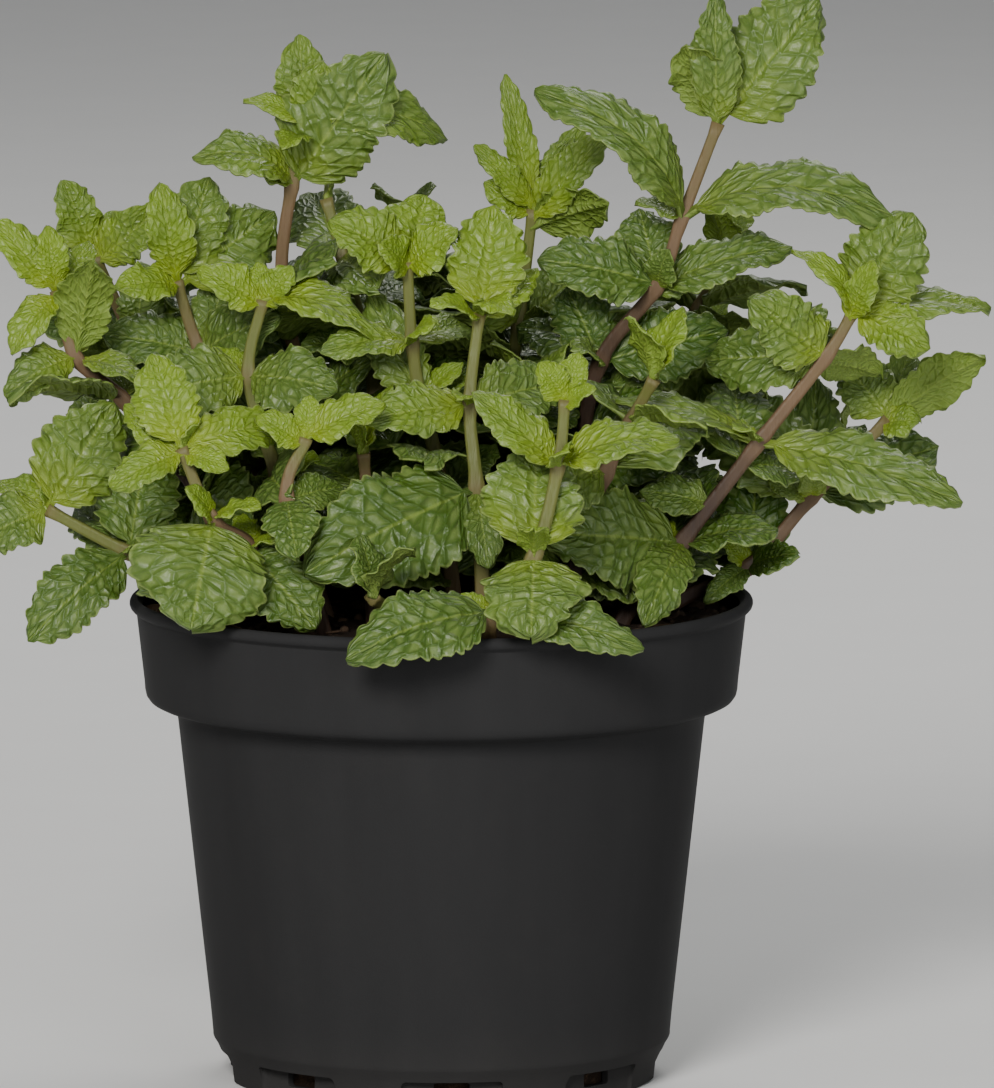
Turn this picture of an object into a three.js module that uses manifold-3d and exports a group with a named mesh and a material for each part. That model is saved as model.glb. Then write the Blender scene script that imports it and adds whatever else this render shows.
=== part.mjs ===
// Potted mint plant: a bushy mint in a black plastic nursery pot.
// Millimetres, +Z up. The origin is the middle of the pot's underside, and the front is -Y.

import * as THREE from "three";
import { mergeVertices } from "three/addons/utils/BufferGeometryUtils.js";
import Module from "manifold-3d";

const wasm = await Module();
wasm.setup();

// Driving dimensions of the pot
const POT_HEIGHT = 101;
const LIP_RADIUS = 65;
const BAND_TOP_RADIUS = 63.6;
const BAND_FOOT_RADIUS = 61.8;
const LEDGE_HEIGHT = 78;
const BODY_TOP_RADIUS = 55.2;
const BODY_FOOT_RADIUS = 47.7;
const FOOT_EDGE_HEIGHT = 8.8;
const FOOT_RADIUS = 45;
const WALL = 1.5;
const FLOOR = 2;
const POT_SIDES = 32;

// Driving dimensions of the foot's notches, each with its drain hole
const NOTCHES = 8;
const NOTCH_WIDTH = 21;
const NOTCH_HEIGHT = 6;
const NOTCH_DEPTH_RADIUS = 43.2;
const NOTCH_FIRST_ANGLE = -87;
const DRAIN_WIDTH = 7.5;
const DRAIN_FOOT = 2.4;
const DRAIN_TOP = 5.4;

// Driving dimensions of the soil
const SOIL_EDGE_LEVEL = 96.5;
const SOIL_MOUND = 2.5;
const SOIL_CRUMBS = 0.7;
const GAP = 0.35;

// Driving dimensions of the stems and leaves
const STEM_FOOT = 1.8;
const STEM_TOP = 1.1;
const STEM_BURIED = 12;
const STALK_SHARE = 0.1;
const STALK_HALF = 0.8;
const ROOT_DEPTH = 0.8;
const TOOTHED_SHARE = 0.87;
const TOOTH_SWELL = 1.06;
const NOTCH_SWELL = 0.9;
const BLADE_THICKNESS = 0.8;
const TEST_THICKNESS = 1.3;

// The front view that the front stems' places are given in: x and z are read on the
// upright plane through the pot's axis, and y is the depth at which the sight line is met.
const VIEW_DISTANCE = 3000;
const VIEW_HEIGHT = 524;

const DEGREE = Math.PI / 180;

// Small helpers

function fromFront(x, y, z) {
  const share = 1 + y / VIEW_DISTANCE;
  return new THREE.Vector3(x * share, y, VIEW_HEIGHT + (z - VIEW_HEIGHT) * share);
}

function seededDraw(seed) {
  let state = seed;
  return () => {
    state = (state * 16807) % 2147483647;
    return state / 2147483647;
  };
}

function solidOf(points, faces) {
  const vertProperties = new Float32Array(points.flatMap((p) => [p.x, p.y, p.z]));
  const triVerts = new Uint32Array(faces.flat());
  const made = new wasm.Manifold(new wasm.Mesh({ numProp: 3, vertProperties, triVerts }));
  if (made.volume() > 0) return made;
  return solidOf(points, faces.map(([a, b, c]) => [a, c, b]));
}

function solidOfGeometry(geometry) {
  geometry.deleteAttribute("normal");
  geometry.deleteAttribute("uv");
  const merged = mergeVertices(geometry, 1e-4);
  const vertProperties = new Float32Array(merged.attributes.position.array);
  const triVerts = new Uint32Array(merged.index.array);
  return new wasm.Manifold(new wasm.Mesh({ numProp: 3, vertProperties, triVerts }));
}

function geometryOf(solid) {
  const mesh = solid.getMesh();
  const geometry = new THREE.BufferGeometry();
  geometry.setAttribute("position", new THREE.BufferAttribute(mesh.vertProperties, mesh.numProp));
  geometry.setIndex(new THREE.BufferAttribute(mesh.triVerts, 1));
  geometry.computeVertexNormals();
  return geometry;
}

function turned(outline) {
  const points = outline.map(([r, z]) => new THREE.Vector2(r, z));
  const geometry = new THREE.LatheGeometry(points, POT_SIDES);
  geometry.rotateX(Math.PI / 2);
  return geometry;
}

// Pot: a turned shell with a rolled lip, a rim band on a ledge, and notches round the foot

function potShell() {
  const bandInnerTop = BAND_TOP_RADIUS - WALL;
  const bandInnerFoot = BAND_FOOT_RADIUS - WALL;
  const outline = [
    [0, 0],
    [FOOT_RADIUS, 0],
    [FOOT_RADIUS + 0.4, 3.8],
    [BODY_FOOT_RADIUS, FOOT_EDGE_HEIGHT],
    [BODY_TOP_RADIUS, LEDGE_HEIGHT],
    [BAND_FOOT_RADIUS - 0.8, LEDGE_HEIGHT + 1.8],
    [BAND_FOOT_RADIUS, LEDGE_HEIGHT + 4],
    [BAND_TOP_RADIUS, POT_HEIGHT - 2.7],
    [LIP_RADIUS, POT_HEIGHT - 2.2],
    [LIP_RADIUS, POT_HEIGHT - 0.6],
    [LIP_RADIUS - 0.7, POT_HEIGHT],
    [bandInnerTop + 0.4, POT_HEIGHT],
    [bandInnerTop, POT_HEIGHT - 1],
    [bandInnerFoot, LEDGE_HEIGHT + 4.4],
    [BODY_TOP_RADIUS - WALL, LEDGE_HEIGHT + 1.9],
    [BODY_FOOT_RADIUS - WALL, FOOT_EDGE_HEIGHT + 1.2],
    [NOTCH_DEPTH_RADIUS - WALL, FOOT_EDGE_HEIGHT - 0.8],
    [NOTCH_DEPTH_RADIUS - WALL, FLOOR],
    [0, FLOOR],
  ];
  return solidOfGeometry(turned(outline));
}

function footCut(angle) {
  const reach = 12;
  const notch = new THREE.BoxGeometry(reach, NOTCH_WIDTH, NOTCH_HEIGHT + 2);
  notch.translate(NOTCH_DEPTH_RADIUS + reach / 2, 0, NOTCH_HEIGHT / 2 - 1);
  notch.rotateZ(angle);
  const drain = new THREE.BoxGeometry(reach, DRAIN_WIDTH, DRAIN_TOP - DRAIN_FOOT);
  drain.translate(NOTCH_DEPTH_RADIUS, 0, (DRAIN_TOP + DRAIN_FOOT) / 2);
  drain.rotateZ(angle);
  return solidOfGeometry(notch).add(solidOfGeometry(drain));
}

function potSolid() {
  let pot = potShell();
  for (let i = 0; i < NOTCHES; i += 1) {
    const angle = (NOTCH_FIRST_ANGLE + (360 / NOTCHES) * i) * DEGREE;
    pot = pot.subtract(footCut(angle));
  }
  return pot;
}

// Soil: fills the pot to just under the lip, mounded and crumbly on top

function soilLevel(x, y) {
  const share = Math.hypot(x, y) / BAND_TOP_RADIUS;
  return SOIL_EDGE_LEVEL + SOIL_MOUND * (1 - share * share);
}

function crumbs(x, y) {
  const coarse = Math.sin(0.33 * x + 1.3) * Math.sin(0.41 * y + 0.7);
  const fine = Math.sin(0.83 * x - 0.61 * y) * Math.cos(0.57 * x + 0.92 * y);
  return SOIL_CRUMBS * (coarse + fine);
}

function soilFill() {
  const bandInner = BAND_TOP_RADIUS - WALL - GAP - 0.35;
  const rings = [48, 34, 18, 0];
  const outline = [
    [0, FLOOR + GAP],
    [NOTCH_DEPTH_RADIUS - WALL - GAP, FLOOR + GAP],
    [NOTCH_DEPTH_RADIUS - WALL - GAP, FOOT_EDGE_HEIGHT - 0.5],
    [BODY_FOOT_RADIUS - WALL - GAP, FOOT_EDGE_HEIGHT + 1.5],
    [BODY_TOP_RADIUS - WALL - GAP, LEDGE_HEIGHT + 2.2],
    [BAND_FOOT_RADIUS - WALL - GAP, LEDGE_HEIGHT + 4.8],
    [bandInner, SOIL_EDGE_LEVEL],
    ...rings.map((r) => [r, soilLevel(r, 0)]),
  ];
  const geometry = turned(outline);
  const place = geometry.attributes.position;
  for (let i = 0; i < place.count; i += 1) {
    const x = place.getX(i);
    const y = place.getY(i);
    const isTop = place.getZ(i) > SOIL_EDGE_LEVEL + 0.01;
    if (isTop) place.setZ(i, place.getZ(i) + crumbs(x, y));
  }
  return solidOfGeometry(geometry);
}

function soilSolid(stems) {
  let soil = soilFill();
  for (const stem of stems) soil = soil.subtract(stemSolid(stem, GAP));
  return soil;
}

// Stems: square in section, tapering from foot to tip, with a ring at each leaf node

function stemPath(stem, lengthening) {
  const [ground, next] = stem.way;
  const down = ground.clone().sub(next).normalize();
  down.z -= 1.5;
  down.normalize();
  const bottom = ground.clone().addScaledVector(down, STEM_BURIED + lengthening);
  return [bottom, ...stem.way];
}

function stemSolid(stem, clearance) {
  const path = stemPath(stem, clearance);
  const curve = new THREE.CatmullRomCurve3(path, false, "catmullrom", 0.5);
  const steps = path.length - 1;
  const depth = new THREE.Vector3(0, 1, 0);
  const points = [];
  path.forEach((middle, i) => {
    const share = i / steps;
    const half = STEM_FOOT + (STEM_TOP - STEM_FOOT) * share + clearance;
    const ahead = curve.getTangent(share);
    const side = ahead.clone().cross(depth).normalize();
    const other = ahead.clone().cross(side);
    for (const [a, b] of [[1, 1], [-1, 1], [-1, -1], [1, -1]]) {
      const corner = middle.clone().addScaledVector(side, a * half);
      points.push(corner.addScaledVector(other, b * half));
    }
  });
  const faces = [[0, 2, 1], [0, 3, 2]];
  for (let i = 0; i < steps; i += 1) {
    for (let k = 0; k < 4; k += 1) {
      const a = 4 * i + k;
      const b = 4 * i + ((k + 1) % 4);
      faces.push([a, b, b + 4], [a, b + 4, a + 4]);
    }
  }
  const end = 4 * steps;
  faces.push([end, end + 1, end + 2], [end, end + 2, end + 3]);
  return solidOf(points, faces);
}

// Leaves: a toothed, ovate blade on a short stalk, arched along its midrib and folded across

function leafFrame(leaf) {
  const along = leaf.tip.clone().sub(leaf.base);
  const length = along.length();
  along.normalize();
  const face = leaf.facing.clone().addScaledVector(along, -leaf.facing.dot(along)).normalize();
  const side = along.clone().cross(face);
  const crest = leaf.base.clone().lerp(leaf.tip, 0.42).addScaledVector(face, leaf.arch * length);
  return { side, crest, length };
}

function ovate(share) {
  return 2.198 * Math.sqrt(share) * (1 - share) ** 0.65;
}

function bladePoint(leaf, frame, along, across, lift) {
  const t = along;
  const rest = 1 - t;
  const middle = leaf.base.clone().multiplyScalar(rest * rest);
  middle.addScaledVector(frame.crest, 2 * rest * t).addScaledVector(leaf.tip, t * t);
  const ahead = frame.crest.clone().sub(leaf.base).multiplyScalar(rest);
  ahead.addScaledVector(leaf.tip.clone().sub(frame.crest), t).normalize();
  const up = frame.side.clone().cross(ahead);
  const rise = leaf.fold * Math.abs(across) + lift;
  return middle.addScaledVector(frame.side, across).addScaledVector(up, rise);
}

function toothCount(length) {
  if (length > 34) return 4;
  return length > 23 ? 3 : 2;
}

function bladeRim(leaf, length) {
  const teeth = toothCount(length);
  const rim = [[STALK_SHARE, STALK_HALF]];
  const bladeAt = (share, swell) => {
    const half = (leaf.width / 2) * ovate(share) * swell;
    rim.push([STALK_SHARE + (1 - STALK_SHARE) * share, half]);
  };
  for (let i = 0; i < teeth; i += 1) {
    const start = 0.03 + (TOOTHED_SHARE * i) / teeth;
    bladeAt(start + (0.72 * TOOTHED_SHARE) / teeth, TOOTH_SWELL);
    if (i < teeth - 1) bladeAt(start + TOOTHED_SHARE / teeth, NOTCH_SWELL);
  }
  return rim;
}

function leafSolid(leaf, thickness) {
  const frame = leafFrame(leaf);
  const rim = bladeRim(leaf, frame.length);
  const ribs = frame.length > 25 ? [STALK_SHARE, 0.36, 0.68] : [STALK_SHARE, 0.5];
  const heel = frame.crest.clone().sub(leaf.base).setLength(-ROOT_DEPTH).add(leaf.base);
  const points = [heel, leaf.tip.clone()];
  const add = (along, across, lift) => {
    points.push(bladePoint(leaf, frame, along, across, lift));
    return points.length - 1;
  };
  const left = rim.map(([along, half]) => add(along, -half, 0));
  const right = rim.map(([along, half]) => add(along, half, 0));
  const top = ribs.map((along) => add(along, 0, thickness / 2));
  const under = ribs.map((along) => add(along, 0, -thickness / 2));
  const faces = [];
  const strip = (edge, rib, flip) => {
    const face = (p, q, r) => faces.push(flip ? [p, r, q] : [p, q, r]);
    face(0, edge[0], rib[0]);
    let i = 0;
    let j = 0;
    while (i < rim.length - 1 || j < ribs.length - 1) {
      const edgeNext = i < rim.length - 1 ? rim[i + 1][0] : 2;
      const ribNext = j < ribs.length - 1 ? ribs[j + 1] : 2;
      const onEdge = edgeNext <= ribNext;
      face(rib[j], edge[i], onEdge ? edge[i + 1] : rib[j + 1]);
      if (onEdge) i += 1;
      else j += 1;
    }
    face(rib[j], edge[i], 1);
  };
  strip(left, top, true);
  strip(right, top, false);
  strip(left, under, false);
  strip(right, under, true);
  return solidOf(points, faces);
}

// Front stems, as the front view shows them.
// way: nodes from the soil up, [x, depth, z]. leaves: [node, tip x, depth, z, width, turn, arch],
// with turn 0 facing up, 90 facing the front and -90 showing the underside.
// pairs: [node, length, direction], for a pair of plain leaves. The foot is [x, y] on the soil.

const FRONT_STEMS = [
  {
    name: "tall_right",
    foot: [22, 6],
    way: [[28, 4, 126], [33, 0, 150], [45, -3, 166], [50, -3, 180], [57.5, -2, 200]],
    leaves: [
      [3, 19.5, -12, 209, 13.5, 46, 0.44],
      [3, 95.5, -10, 182, 14.5, 36, 0.36],
      [4, 78.5, 0, 226, 20, 80, 0.08],
      [4, 50, -8, 218, 12.5, -68, 0.12],
      [4, 57, -4, 230, 10, 74, 0.06],
      [2, 20, -8, 172, 14, 62, 0.16],
      [2, 41, 6, 183, 13, 72, 0.1],
      [2, 73, -4, 175, 12, 42, 0.16],
      [2, 64.5, 8, 173.5, 6, 60, 0.1],
      [2, 58, 2, 178, 9, 62, 0.1],
      [1, 60, 2, 157, 15, 68, 0.12],
      [1, 26, 6, 166, 13, 55, 0.12],
    ],
    pairs: [[0, 34, 70]],
  },
  {
    name: "tall_left",
    foot: [-18, 10],
    way: [[-26, 10, 135], [-33, 8, 165], [-31, 7, 187], [-28, 6, 199]],
    leaves: [
      [2, -52, 0, 193.5, 11.5, 42, 0.5],
      [2, -12, -2, 214, 21, 82, 0.08],
      [3, -41, 2, 205.5, 5.5, 42, 0.3],
      [3, 2.5, 14, 197, 11, 52, 0.5],
      [3, -33, 4, 219.5, 11, 74, 0.05],
      [3, -24, -6, 212, 11, 75, 0.1],
      [3, -33, -6, 196, 6, 40, 0.2],
    ],
    pairs: [[1, 30, 100]],
  },
  {
    name: "far_left",
    foot: [-34, -2],
    way: [[-50, -4, 122], [-66, -6, 142], [-76, -6, 151], [-80, -5, 165]],
    leaves: [
      [3, -93, -8, 180, 9, 60, 0.1],
      [3, -82, -8, 179, 7, 65, 0.08],
      [3, -90, -14, 152, 8, 40, 0.26],
      [2, -91, -14, 143, 10, 50, 0.25],
      [2, -72, -16, 173, 12, -65, 0.1],
      [2, -61, -14, 146, 9, 20, 0.2],
      [3, -73, 4, 176, 8, 60, 0.1],
    ],
    pairs: [[0, 30, 110], [1, 28, 20]],
  },
  {
    name: "far_left_back",
    foot: [-38, 16],
    way: [[-50, 18, 130], [-64, 18, 155], [-72, 16, 172]],
    leaves: [
      [2, -78.5, 12, 188, 10, 64, 0.08],
      [2, -68, 14, 184, 7, 60, 0.1],
      [2, -57, 8, 183, 11, 72, 0.1],
      [2, -86, 24, 171, 10, 50, 0.2],
      [1, -41, 4, 149, 14, 60, 0.15],
      [1, -84, 26, 160, 13, 50, 0.15],
      [1, -62, 14, 170, 10, 60, 0.12],
    ],
    pairs: [[0, 32, 100]],
  },
  {
    name: "left_middle",
    foot: [-28, 0],
    way: [[-38, 2, 128], [-50, 4, 152], [-55, 4, 167]],
    leaves: [
      [2, -58, -2, 187, 10, 70, 0.1],
      [2, -48, 8, 189, 15, 80, 0.08],
      [2, -33, 10, 182.5, 17, 75, 0.12],
      [2, -68, -6, 166, 9, 50, 0.2],
      [1, -34, -8, 160, 14, 60, 0.15],
      [1, -66, 8, 140, 14, 60, 0.15],
      [1, -45, 8, 168, 11, 65, 0.12],
    ],
    pairs: [[0, 32, 100]],
  },
  {
    name: "left_inner",
    foot: [-24, -16],
    way: [[-34, -15, 126], [-40, -13, 147], [-37, -12, 163]],
    leaves: [
      [2, -38, -12, 171, 6, 65, 0.08],
      [2, -12, -20, 155, 11, 32, 0.36],
      [2, -50, -16, 170, 9, 55, 0.15],
      [2, -31, -16, 170, 7, 60, 0.1],
      [1, -62, -22, 143, 15, 62, 0.15],
      [1, -22, -26, 145, 14, 62, 0.15],
    ],
    pairs: [[0, 30, 100]],
  },
  {
    name: "front_slender",
    foot: [3, -16],
    way: [[-1, -16, 129], [-4, -15, 141], [-6, -15, 154], [-7, -15, 171]],
    leaves: [
      [3, -3, -12, 185, 15, 78, 0.06],
      [3, -23, -20, 180, 13, 62, 0.15],
      [3, 3, -22, 178, 10, 60, 0.15],
      [3, -12, -24, 175, 8, 60, 0.1],
      [2, -25, -26, 152, 9, 42, 0.2],
      [2, 7, 2, 158, 8, 50, 0.15],
      [1, -15, -8, 165, 12, 60, 0.1],
    ],
    pairs: [[0, 30, 120]],
  },
  {
    name: "front_tall",
    foot: [9, -32],
    way: [[7.5, -31, 123.5], [6, -27, 141], [8, -23, 160]],
    leaves: [
      [2, 11, -18, 183, 16, 84, 0.06],
      [2, 15, -36, 160.5, 7, 25, 0.35],
      [2, -2, -32, 163, 6, 30, 0.2],
      [2, 20, -14, 170, 8, 60, 0.1],
      [0, -28, -50, 106.5, 24, 68, 0.12],
      [0, 10, -42, 107, 9, 75, 0.12],
      [1, 26, -16, 146, 14, 66, 0.12],
      [1, -16, -36, 138, 12, 62, 0.12],
    ],
    pairs: [],
  },
  {
    name: "front_left_short",
    foot: [-24, -37],
    way: [[-32, -40, 121], [-28, -38, 134]],
    leaves: [
      [1, -27, -38, 143, 6, 70, 0.06],
      [1, -12, -42, 144, 9, 50, 0.15],
      [1, -38, -42, 139, 7, 60, 0.12],
      [0, -30, -54, 109.5, 11, 74, 0.15],
      [0, -20, -30, 124, 9, 60, 0.12],
    ],
    pairs: [],
  },
  {
    name: "left_front",
    foot: [-34, -32],
    way: [[-40, -38, 111], [-47.5, -42, 117], [-54, -41, 132]],
    leaves: [
      [2, -60, -38, 152, 13, 72, 0.08],
      [2, -32, -32, 138, 11, 58, 0.15],
      [2, -44, -46, 128, 6, 50, 0.15],
      [2, -69, -48, 124, 9, 50, 0.2],
      [2, -66, -34, 141, 8, 60, 0.1],
      [1, -52, -57, 94, 28, 76, 0.14],
      [0, -26, -48, 94, 15, 72, 0.14],
    ],
    pairs: [],
  },
  {
    name: "left_low",
    foot: [-42, -14],
    way: [[-52, -18, 105], [-65, -18, 110], [-82, -16, 119]],
    leaves: [
      [2, -68, -15, 141.5, 18, 76, 0.08],
      [2, -96, -20, 113, 13, 60, 0.15],
      [2, -92, -10, 126, 8, 50, 0.12],
      [1, -86.5, -28, 91.5, 14, 62, 0.22],
      [1, -61, -8, 135, 17, 78, 0.08],
      [0, -74, -4, 130, 13, 70, 0.12],
      [1, -77, 0, 121, 12, 66, 0.12],
      [0, -62, -34, 103, 12, 70, 0.15],
    ],
    pairs: [],
  },
  {
    name: "front_centre",
    foot: [10, -56],
    way: [[11, -61, 97], [19.5, -60, 109], [24.5, -56, 128], [26, -54, 142]],
    leaves: [
      [0, -20, -76, 88.5, 16, 52, 0.24],
      [0, 43, -69, 91, 11, 50, 0.15],
      [1, 19, -74, 93, 21, 76, 0.14],
      [1, 20, -50, 134, 20, 82, 0.08],
      [2, 7, -60, 144, 10, 52, 0.1],
      [2, 50, -61, 135, 12, 38, 0.25],
      [3, 21, -57, 150, 7, 65, 0.08],
      [3, 29, -54, 152, 7, 70, 0.08],
      [3, 32, -59, 145, 5, 50, 0.1],
    ],
    pairs: [],
  },
  {
    name: "top_centre",
    foot: [8, 14],
    way: [[12, 17, 130], [16, 19, 158], [19, 19, 182]],
    leaves: [
      [2, 13.5, 17, 210, 6.5, 66, 0.04],
      [2, 7, 14, 195.5, 6, 60, 0.16],
      [2, 9, 17, 188, 8, 58, 0.16],
      [2, 20, 19, 203.5, 8, 70, 0.05],
      [2, 25, 22, 205, 9, 68, 0.06],
      [2, 34, 12, 198, 9, 60, 0.12],
      [2, 35.5, 10, 184, 13, -72, 0.12],
      [1, 2, 6, 172, 13, 62, 0.12],
      [1, 34, 26, 172, 13, 62, 0.12],
    ],
    pairs: [[0, 32, 80]],
  },
  {
    name: "right",
    foot: [38, -18],
    way: [[50, -17, 112], [66, -15, 133], [80, -13, 151], [86, -12, 161]],
    leaves: [
      [1, 109, -26, 121, 14.5, 50, 0.14],
      [1, 37, -24, 144, 9, 25, 0.12],
      [0, 22, -36, 114, 21, 72, 0.12],
      [0, 40, -38, 92, 11, 68, 0.15],
      [2, 65, -22, 163, 14, 72, 0.08],
      [2, 54, -2, 151, 15, 72, 0.12],
      [2, 91, 0, 148, 10, -60, 0.12],
      [3, 98, -10, 181.5, 17.5, 76, 0.08],
      [3, 102, -16, 153, 12, 66, 0.15],
      [3, 73, -16, 174, 6.5, 40, 0.45],
      [3, 117, -6, 162.5, 10, 32, 0.14],
      [3, 90, -20, 172, 7, 60, 0.1],
      [2, 71, 2, 163, 13, 65, 0.12],
    ],
    pairs: [],
  },
  {
    name: "right_low",
    foot: [48, 2],
    way: [[64, 2, 107], [77, 4, 121.5], [93, 6, 138]],
    leaves: [
      [2, 113, 6, 152.5, 11, -68, 0.12],
      [2, 84, 10, 150, 12, 70, 0.1],
      [2, 99, 0, 138, 9, 55, 0.12],
      [2, 98, 16, 154, 8, 60, 0.1],
      [0, 74, -8, 110, 8, 60, 0.15],
      [0, 55, -8, 100, 6, 60, 0.15],
      [0, 66, 12, 131, 15, 72, 0.12],
      [1, 54, 10, 146, 19, 75, 0.12],
      [1, 104, 14, 133, 16, 64, 0.12],
      [1, 78, 15, 147, 13, 74, 0.1],
      [1, 90, 17, 138, 10, 68, 0.1],
    ],
    pairs: [],
  },
];

// Stems of the middle and back: a foot, a top, and leaf pairs by rule on the way up

const BACK_STEMS = [
  { name: "inner_front", foot: [-6, -38], top: [-14, -52, 108], lowest: 24, start: 150 },
  { name: "inner_left", foot: [-14, -22], top: [-16, -24, 134], lowest: 28, start: 30 },
  { name: "inner_middle", foot: [14, -4], top: [18, -8, 142], lowest: 30, start: 20 },
  { name: "middle_left", foot: [-8, 0], top: [-24, 10, 183], lowest: 32, start: 10 },
  { name: "middle_right", foot: [32, 20], top: [60, 30, 168], lowest: 32, start: 60 },
  { name: "middle_back", foot: [-10, 28], top: [-8, 44, 170], lowest: 34, start: 30 },
  { name: "middle_front", foot: [26, -22], top: [44, -28, 150], lowest: 30, start: -50 },
  { name: "back_left", foot: [-30, 32], top: [-58, 58, 150], lowest: 34, start: 140 },
  { name: "back_centre", foot: [6, 44], top: [10, 76, 150], lowest: 34, start: 0 },
  { name: "back_right", foot: [30, 38], top: [56, 66, 146], lowest: 34, start: 40 },
  { name: "side_left", foot: [-48, 8], top: [-74, 30, 126], lowest: 25, start: 90 },
  { name: "side_right", foot: [50, 20], top: [84, 38, 130], lowest: 25, start: 90 },
  { name: "back_low_left", foot: [-20, 50], top: [-36, 84, 120], lowest: 32, start: 10 },
  { name: "back_low_right", foot: [22, 46], top: [34, 86, 118], lowest: 32, start: 170 },
];

const NODE_SPACING = 13;
const MOST_NODES = 5;
const PAIR_SHRINK = 0.42;
const PAIR_WIDTH_SHARE = 0.6;
const PAIR_ARCH = 0.14;
const CROWN_LENGTH = 14;
const CROWN_RISE = 55;
const SISTER_STEP = 1.3;

function groundPoint([x, y]) {
  return new THREE.Vector3(x, y, soilLevel(x, y) + 1);
}

function foldOf(width) {
  return Math.max(0.1, 0.34 - 0.012 * width);
}

function facingOf(azimuth, turn) {
  const level = Math.sin(turn * DEGREE);
  const x = level * Math.cos(azimuth * DEGREE);
  return new THREE.Vector3(x, level * Math.sin(azimuth * DEGREE), Math.cos(turn * DEGREE));
}

function bearing(base, length, azimuth, rise) {
  const reach = length * Math.cos(rise * DEGREE);
  const tip = base.clone();
  tip.x += reach * Math.cos(azimuth * DEGREE);
  tip.y += reach * Math.sin(azimuth * DEGREE);
  tip.z += length * Math.sin(rise * DEGREE);
  return tip;
}

function ruleLeaf(base, length, azimuth, rise, turn) {
  const width = length * PAIR_WIDTH_SHARE;
  const outward = Math.atan2(base.y, base.x) / DEGREE;
  const facing = facingOf(outward, turn);
  const tip = bearing(base, length, azimuth, rise);
  return { base, tip, width, facing, arch: PAIR_ARCH, fold: foldOf(width) };
}

function leafPair(base, length, azimuth, draw) {
  return [0, 180].map((half) => {
    const size = length * (0.9 + 0.2 * draw());
    const heading = azimuth + half + 24 * (draw() - 0.5);
    const rise = -6 + 34 * draw();
    return ruleLeaf(base, size, heading, rise, 15 + 45 * draw());
  });
}

function crownPair(base, azimuth, draw) {
  return [0, 180].map((half) => {
    const size = CROWN_LENGTH * (0.9 + 0.3 * draw());
    return ruleLeaf(base, size, azimuth + half, CROWN_RISE + 14 * draw(), 0);
  });
}

function rootBelow(nodes, node, steps) {
  const below = node > 0 ? nodes[node - 1] : nodes[node].clone().setZ(nodes[node].z - 1);
  const down = below.clone().sub(nodes[node]).setLength(SISTER_STEP * steps);
  return nodes[node].clone().add(down);
}

function frontStem(entry) {
  const nodes = entry.way.map((place) => fromFront(...place));
  const counts = nodes.map(() => 0);
  const leaves = entry.leaves.map(([node, x, y, z, width, turn, arch]) => {
    const base = rootBelow(nodes, node, Math.floor(counts[node] / 2));
    counts[node] += 1;
    const facing = facingOf(-90, turn);
    return { base, tip: fromFront(x, y, z), width, facing, arch, fold: foldOf(width) };
  });
  return { name: entry.name, way: [groundPoint(entry.foot), ...nodes], nodes, leaves };
}

function backStem(entry) {
  const ground = groundPoint(entry.foot);
  const top = new THREE.Vector3(...entry.top);
  const count = Math.min(MOST_NODES, Math.round(top.distanceTo(ground) / NODE_SPACING));
  const nodes = Array.from({ length: count }, (_, i) => {
    const share = ((i + 1) / count) ** 0.85;
    const lean = share ** 1.35;
    const lift = share ** 0.85;
    const x = ground.x + (top.x - ground.x) * lean;
    const y = ground.y + (top.y - ground.y) * lean;
    return new THREE.Vector3(x, y, ground.z + (top.z - ground.z) * lift);
  });
  return { name: entry.name, way: [ground, ...nodes], nodes, leaves: [] };
}

function rulePairs(stem, entry, draw) {
  if (entry.pairs) {
    return entry.pairs.flatMap(([node, length, azimuth]) =>
      leafPair(stem.nodes[node], length, azimuth, draw));
  }
  const last = stem.nodes.length - 1;
  const pairs = stem.nodes.slice(0, last).flatMap((node, i) => {
    const size = entry.lowest * (1 - PAIR_SHRINK * (i / last) ** 2);
    return leafPair(node, size, entry.start + 90 * i, draw);
  });
  return [...pairs, ...crownPair(stem.nodes[last], entry.start + 90 * last, draw)];
}

// Clear placing: a leaf keeps its natural place where it is free, and otherwise bends
// a little further each time, until it is clear of every other stem, the pot and the soil.

const BEND_RINGS = 6;
const BEND_STEP = 5;
const SHRINK_STEP = 0.04;
const ROOT_OVERLAP = 1.6;

function bentTips(leaf) {
  const along = leaf.tip.clone().sub(leaf.base);
  const length = along.length();
  const azimuth = Math.atan2(along.y, along.x) / DEGREE;
  const rise = Math.asin(along.z / length) / DEGREE;
  const tips = [leaf.tip];
  for (let ring = 1; ring <= BEND_RINGS; ring += 1) {
    for (let spoke = 0; spoke < 8; spoke += 1) {
      const swing = BEND_STEP * ring * Math.cos(45 * spoke * DEGREE);
      const lift = BEND_STEP * ring * Math.sin(45 * spoke * DEGREE);
      const size = length * (1 - SHRINK_STEP * ring);
      const newRise = Math.min(88, Math.max(-80, rise + lift));
      tips.push(bearing(leaf.base, size, azimuth + swing, newRise));
    }
  }
  return tips;
}

function boxesMeet(a, b) {
  return [0, 1, 2].every((k) => a.min[k] <= b.max[k] && b.min[k] <= a.max[k]);
}

function meets(solid, box, pieces, allowed) {
  return pieces.some((piece) => {
    if (!boxesMeet(box, piece.box)) return false;
    const common = solid.intersect(piece.solid);
    const crosses = common.volume() > allowed;
    common.delete();
    return crosses;
  });
}

function settleLeaf(leaf, sisters, others) {
  for (const tip of bentTips(leaf)) {
    const settled = { ...leaf, tip };
    const trial = leafSolid(settled, TEST_THICKNESS);
    const box = trial.boundingBox();
    const crosses = meets(trial, box, others, 0) || meets(trial, box, sisters, ROOT_OVERLAP);
    trial.delete();
    if (!crosses) return settled;
  }
  return null;
}

function pieceOf(solid) {
  return { solid, box: solid.boundingBox() };
}

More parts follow.
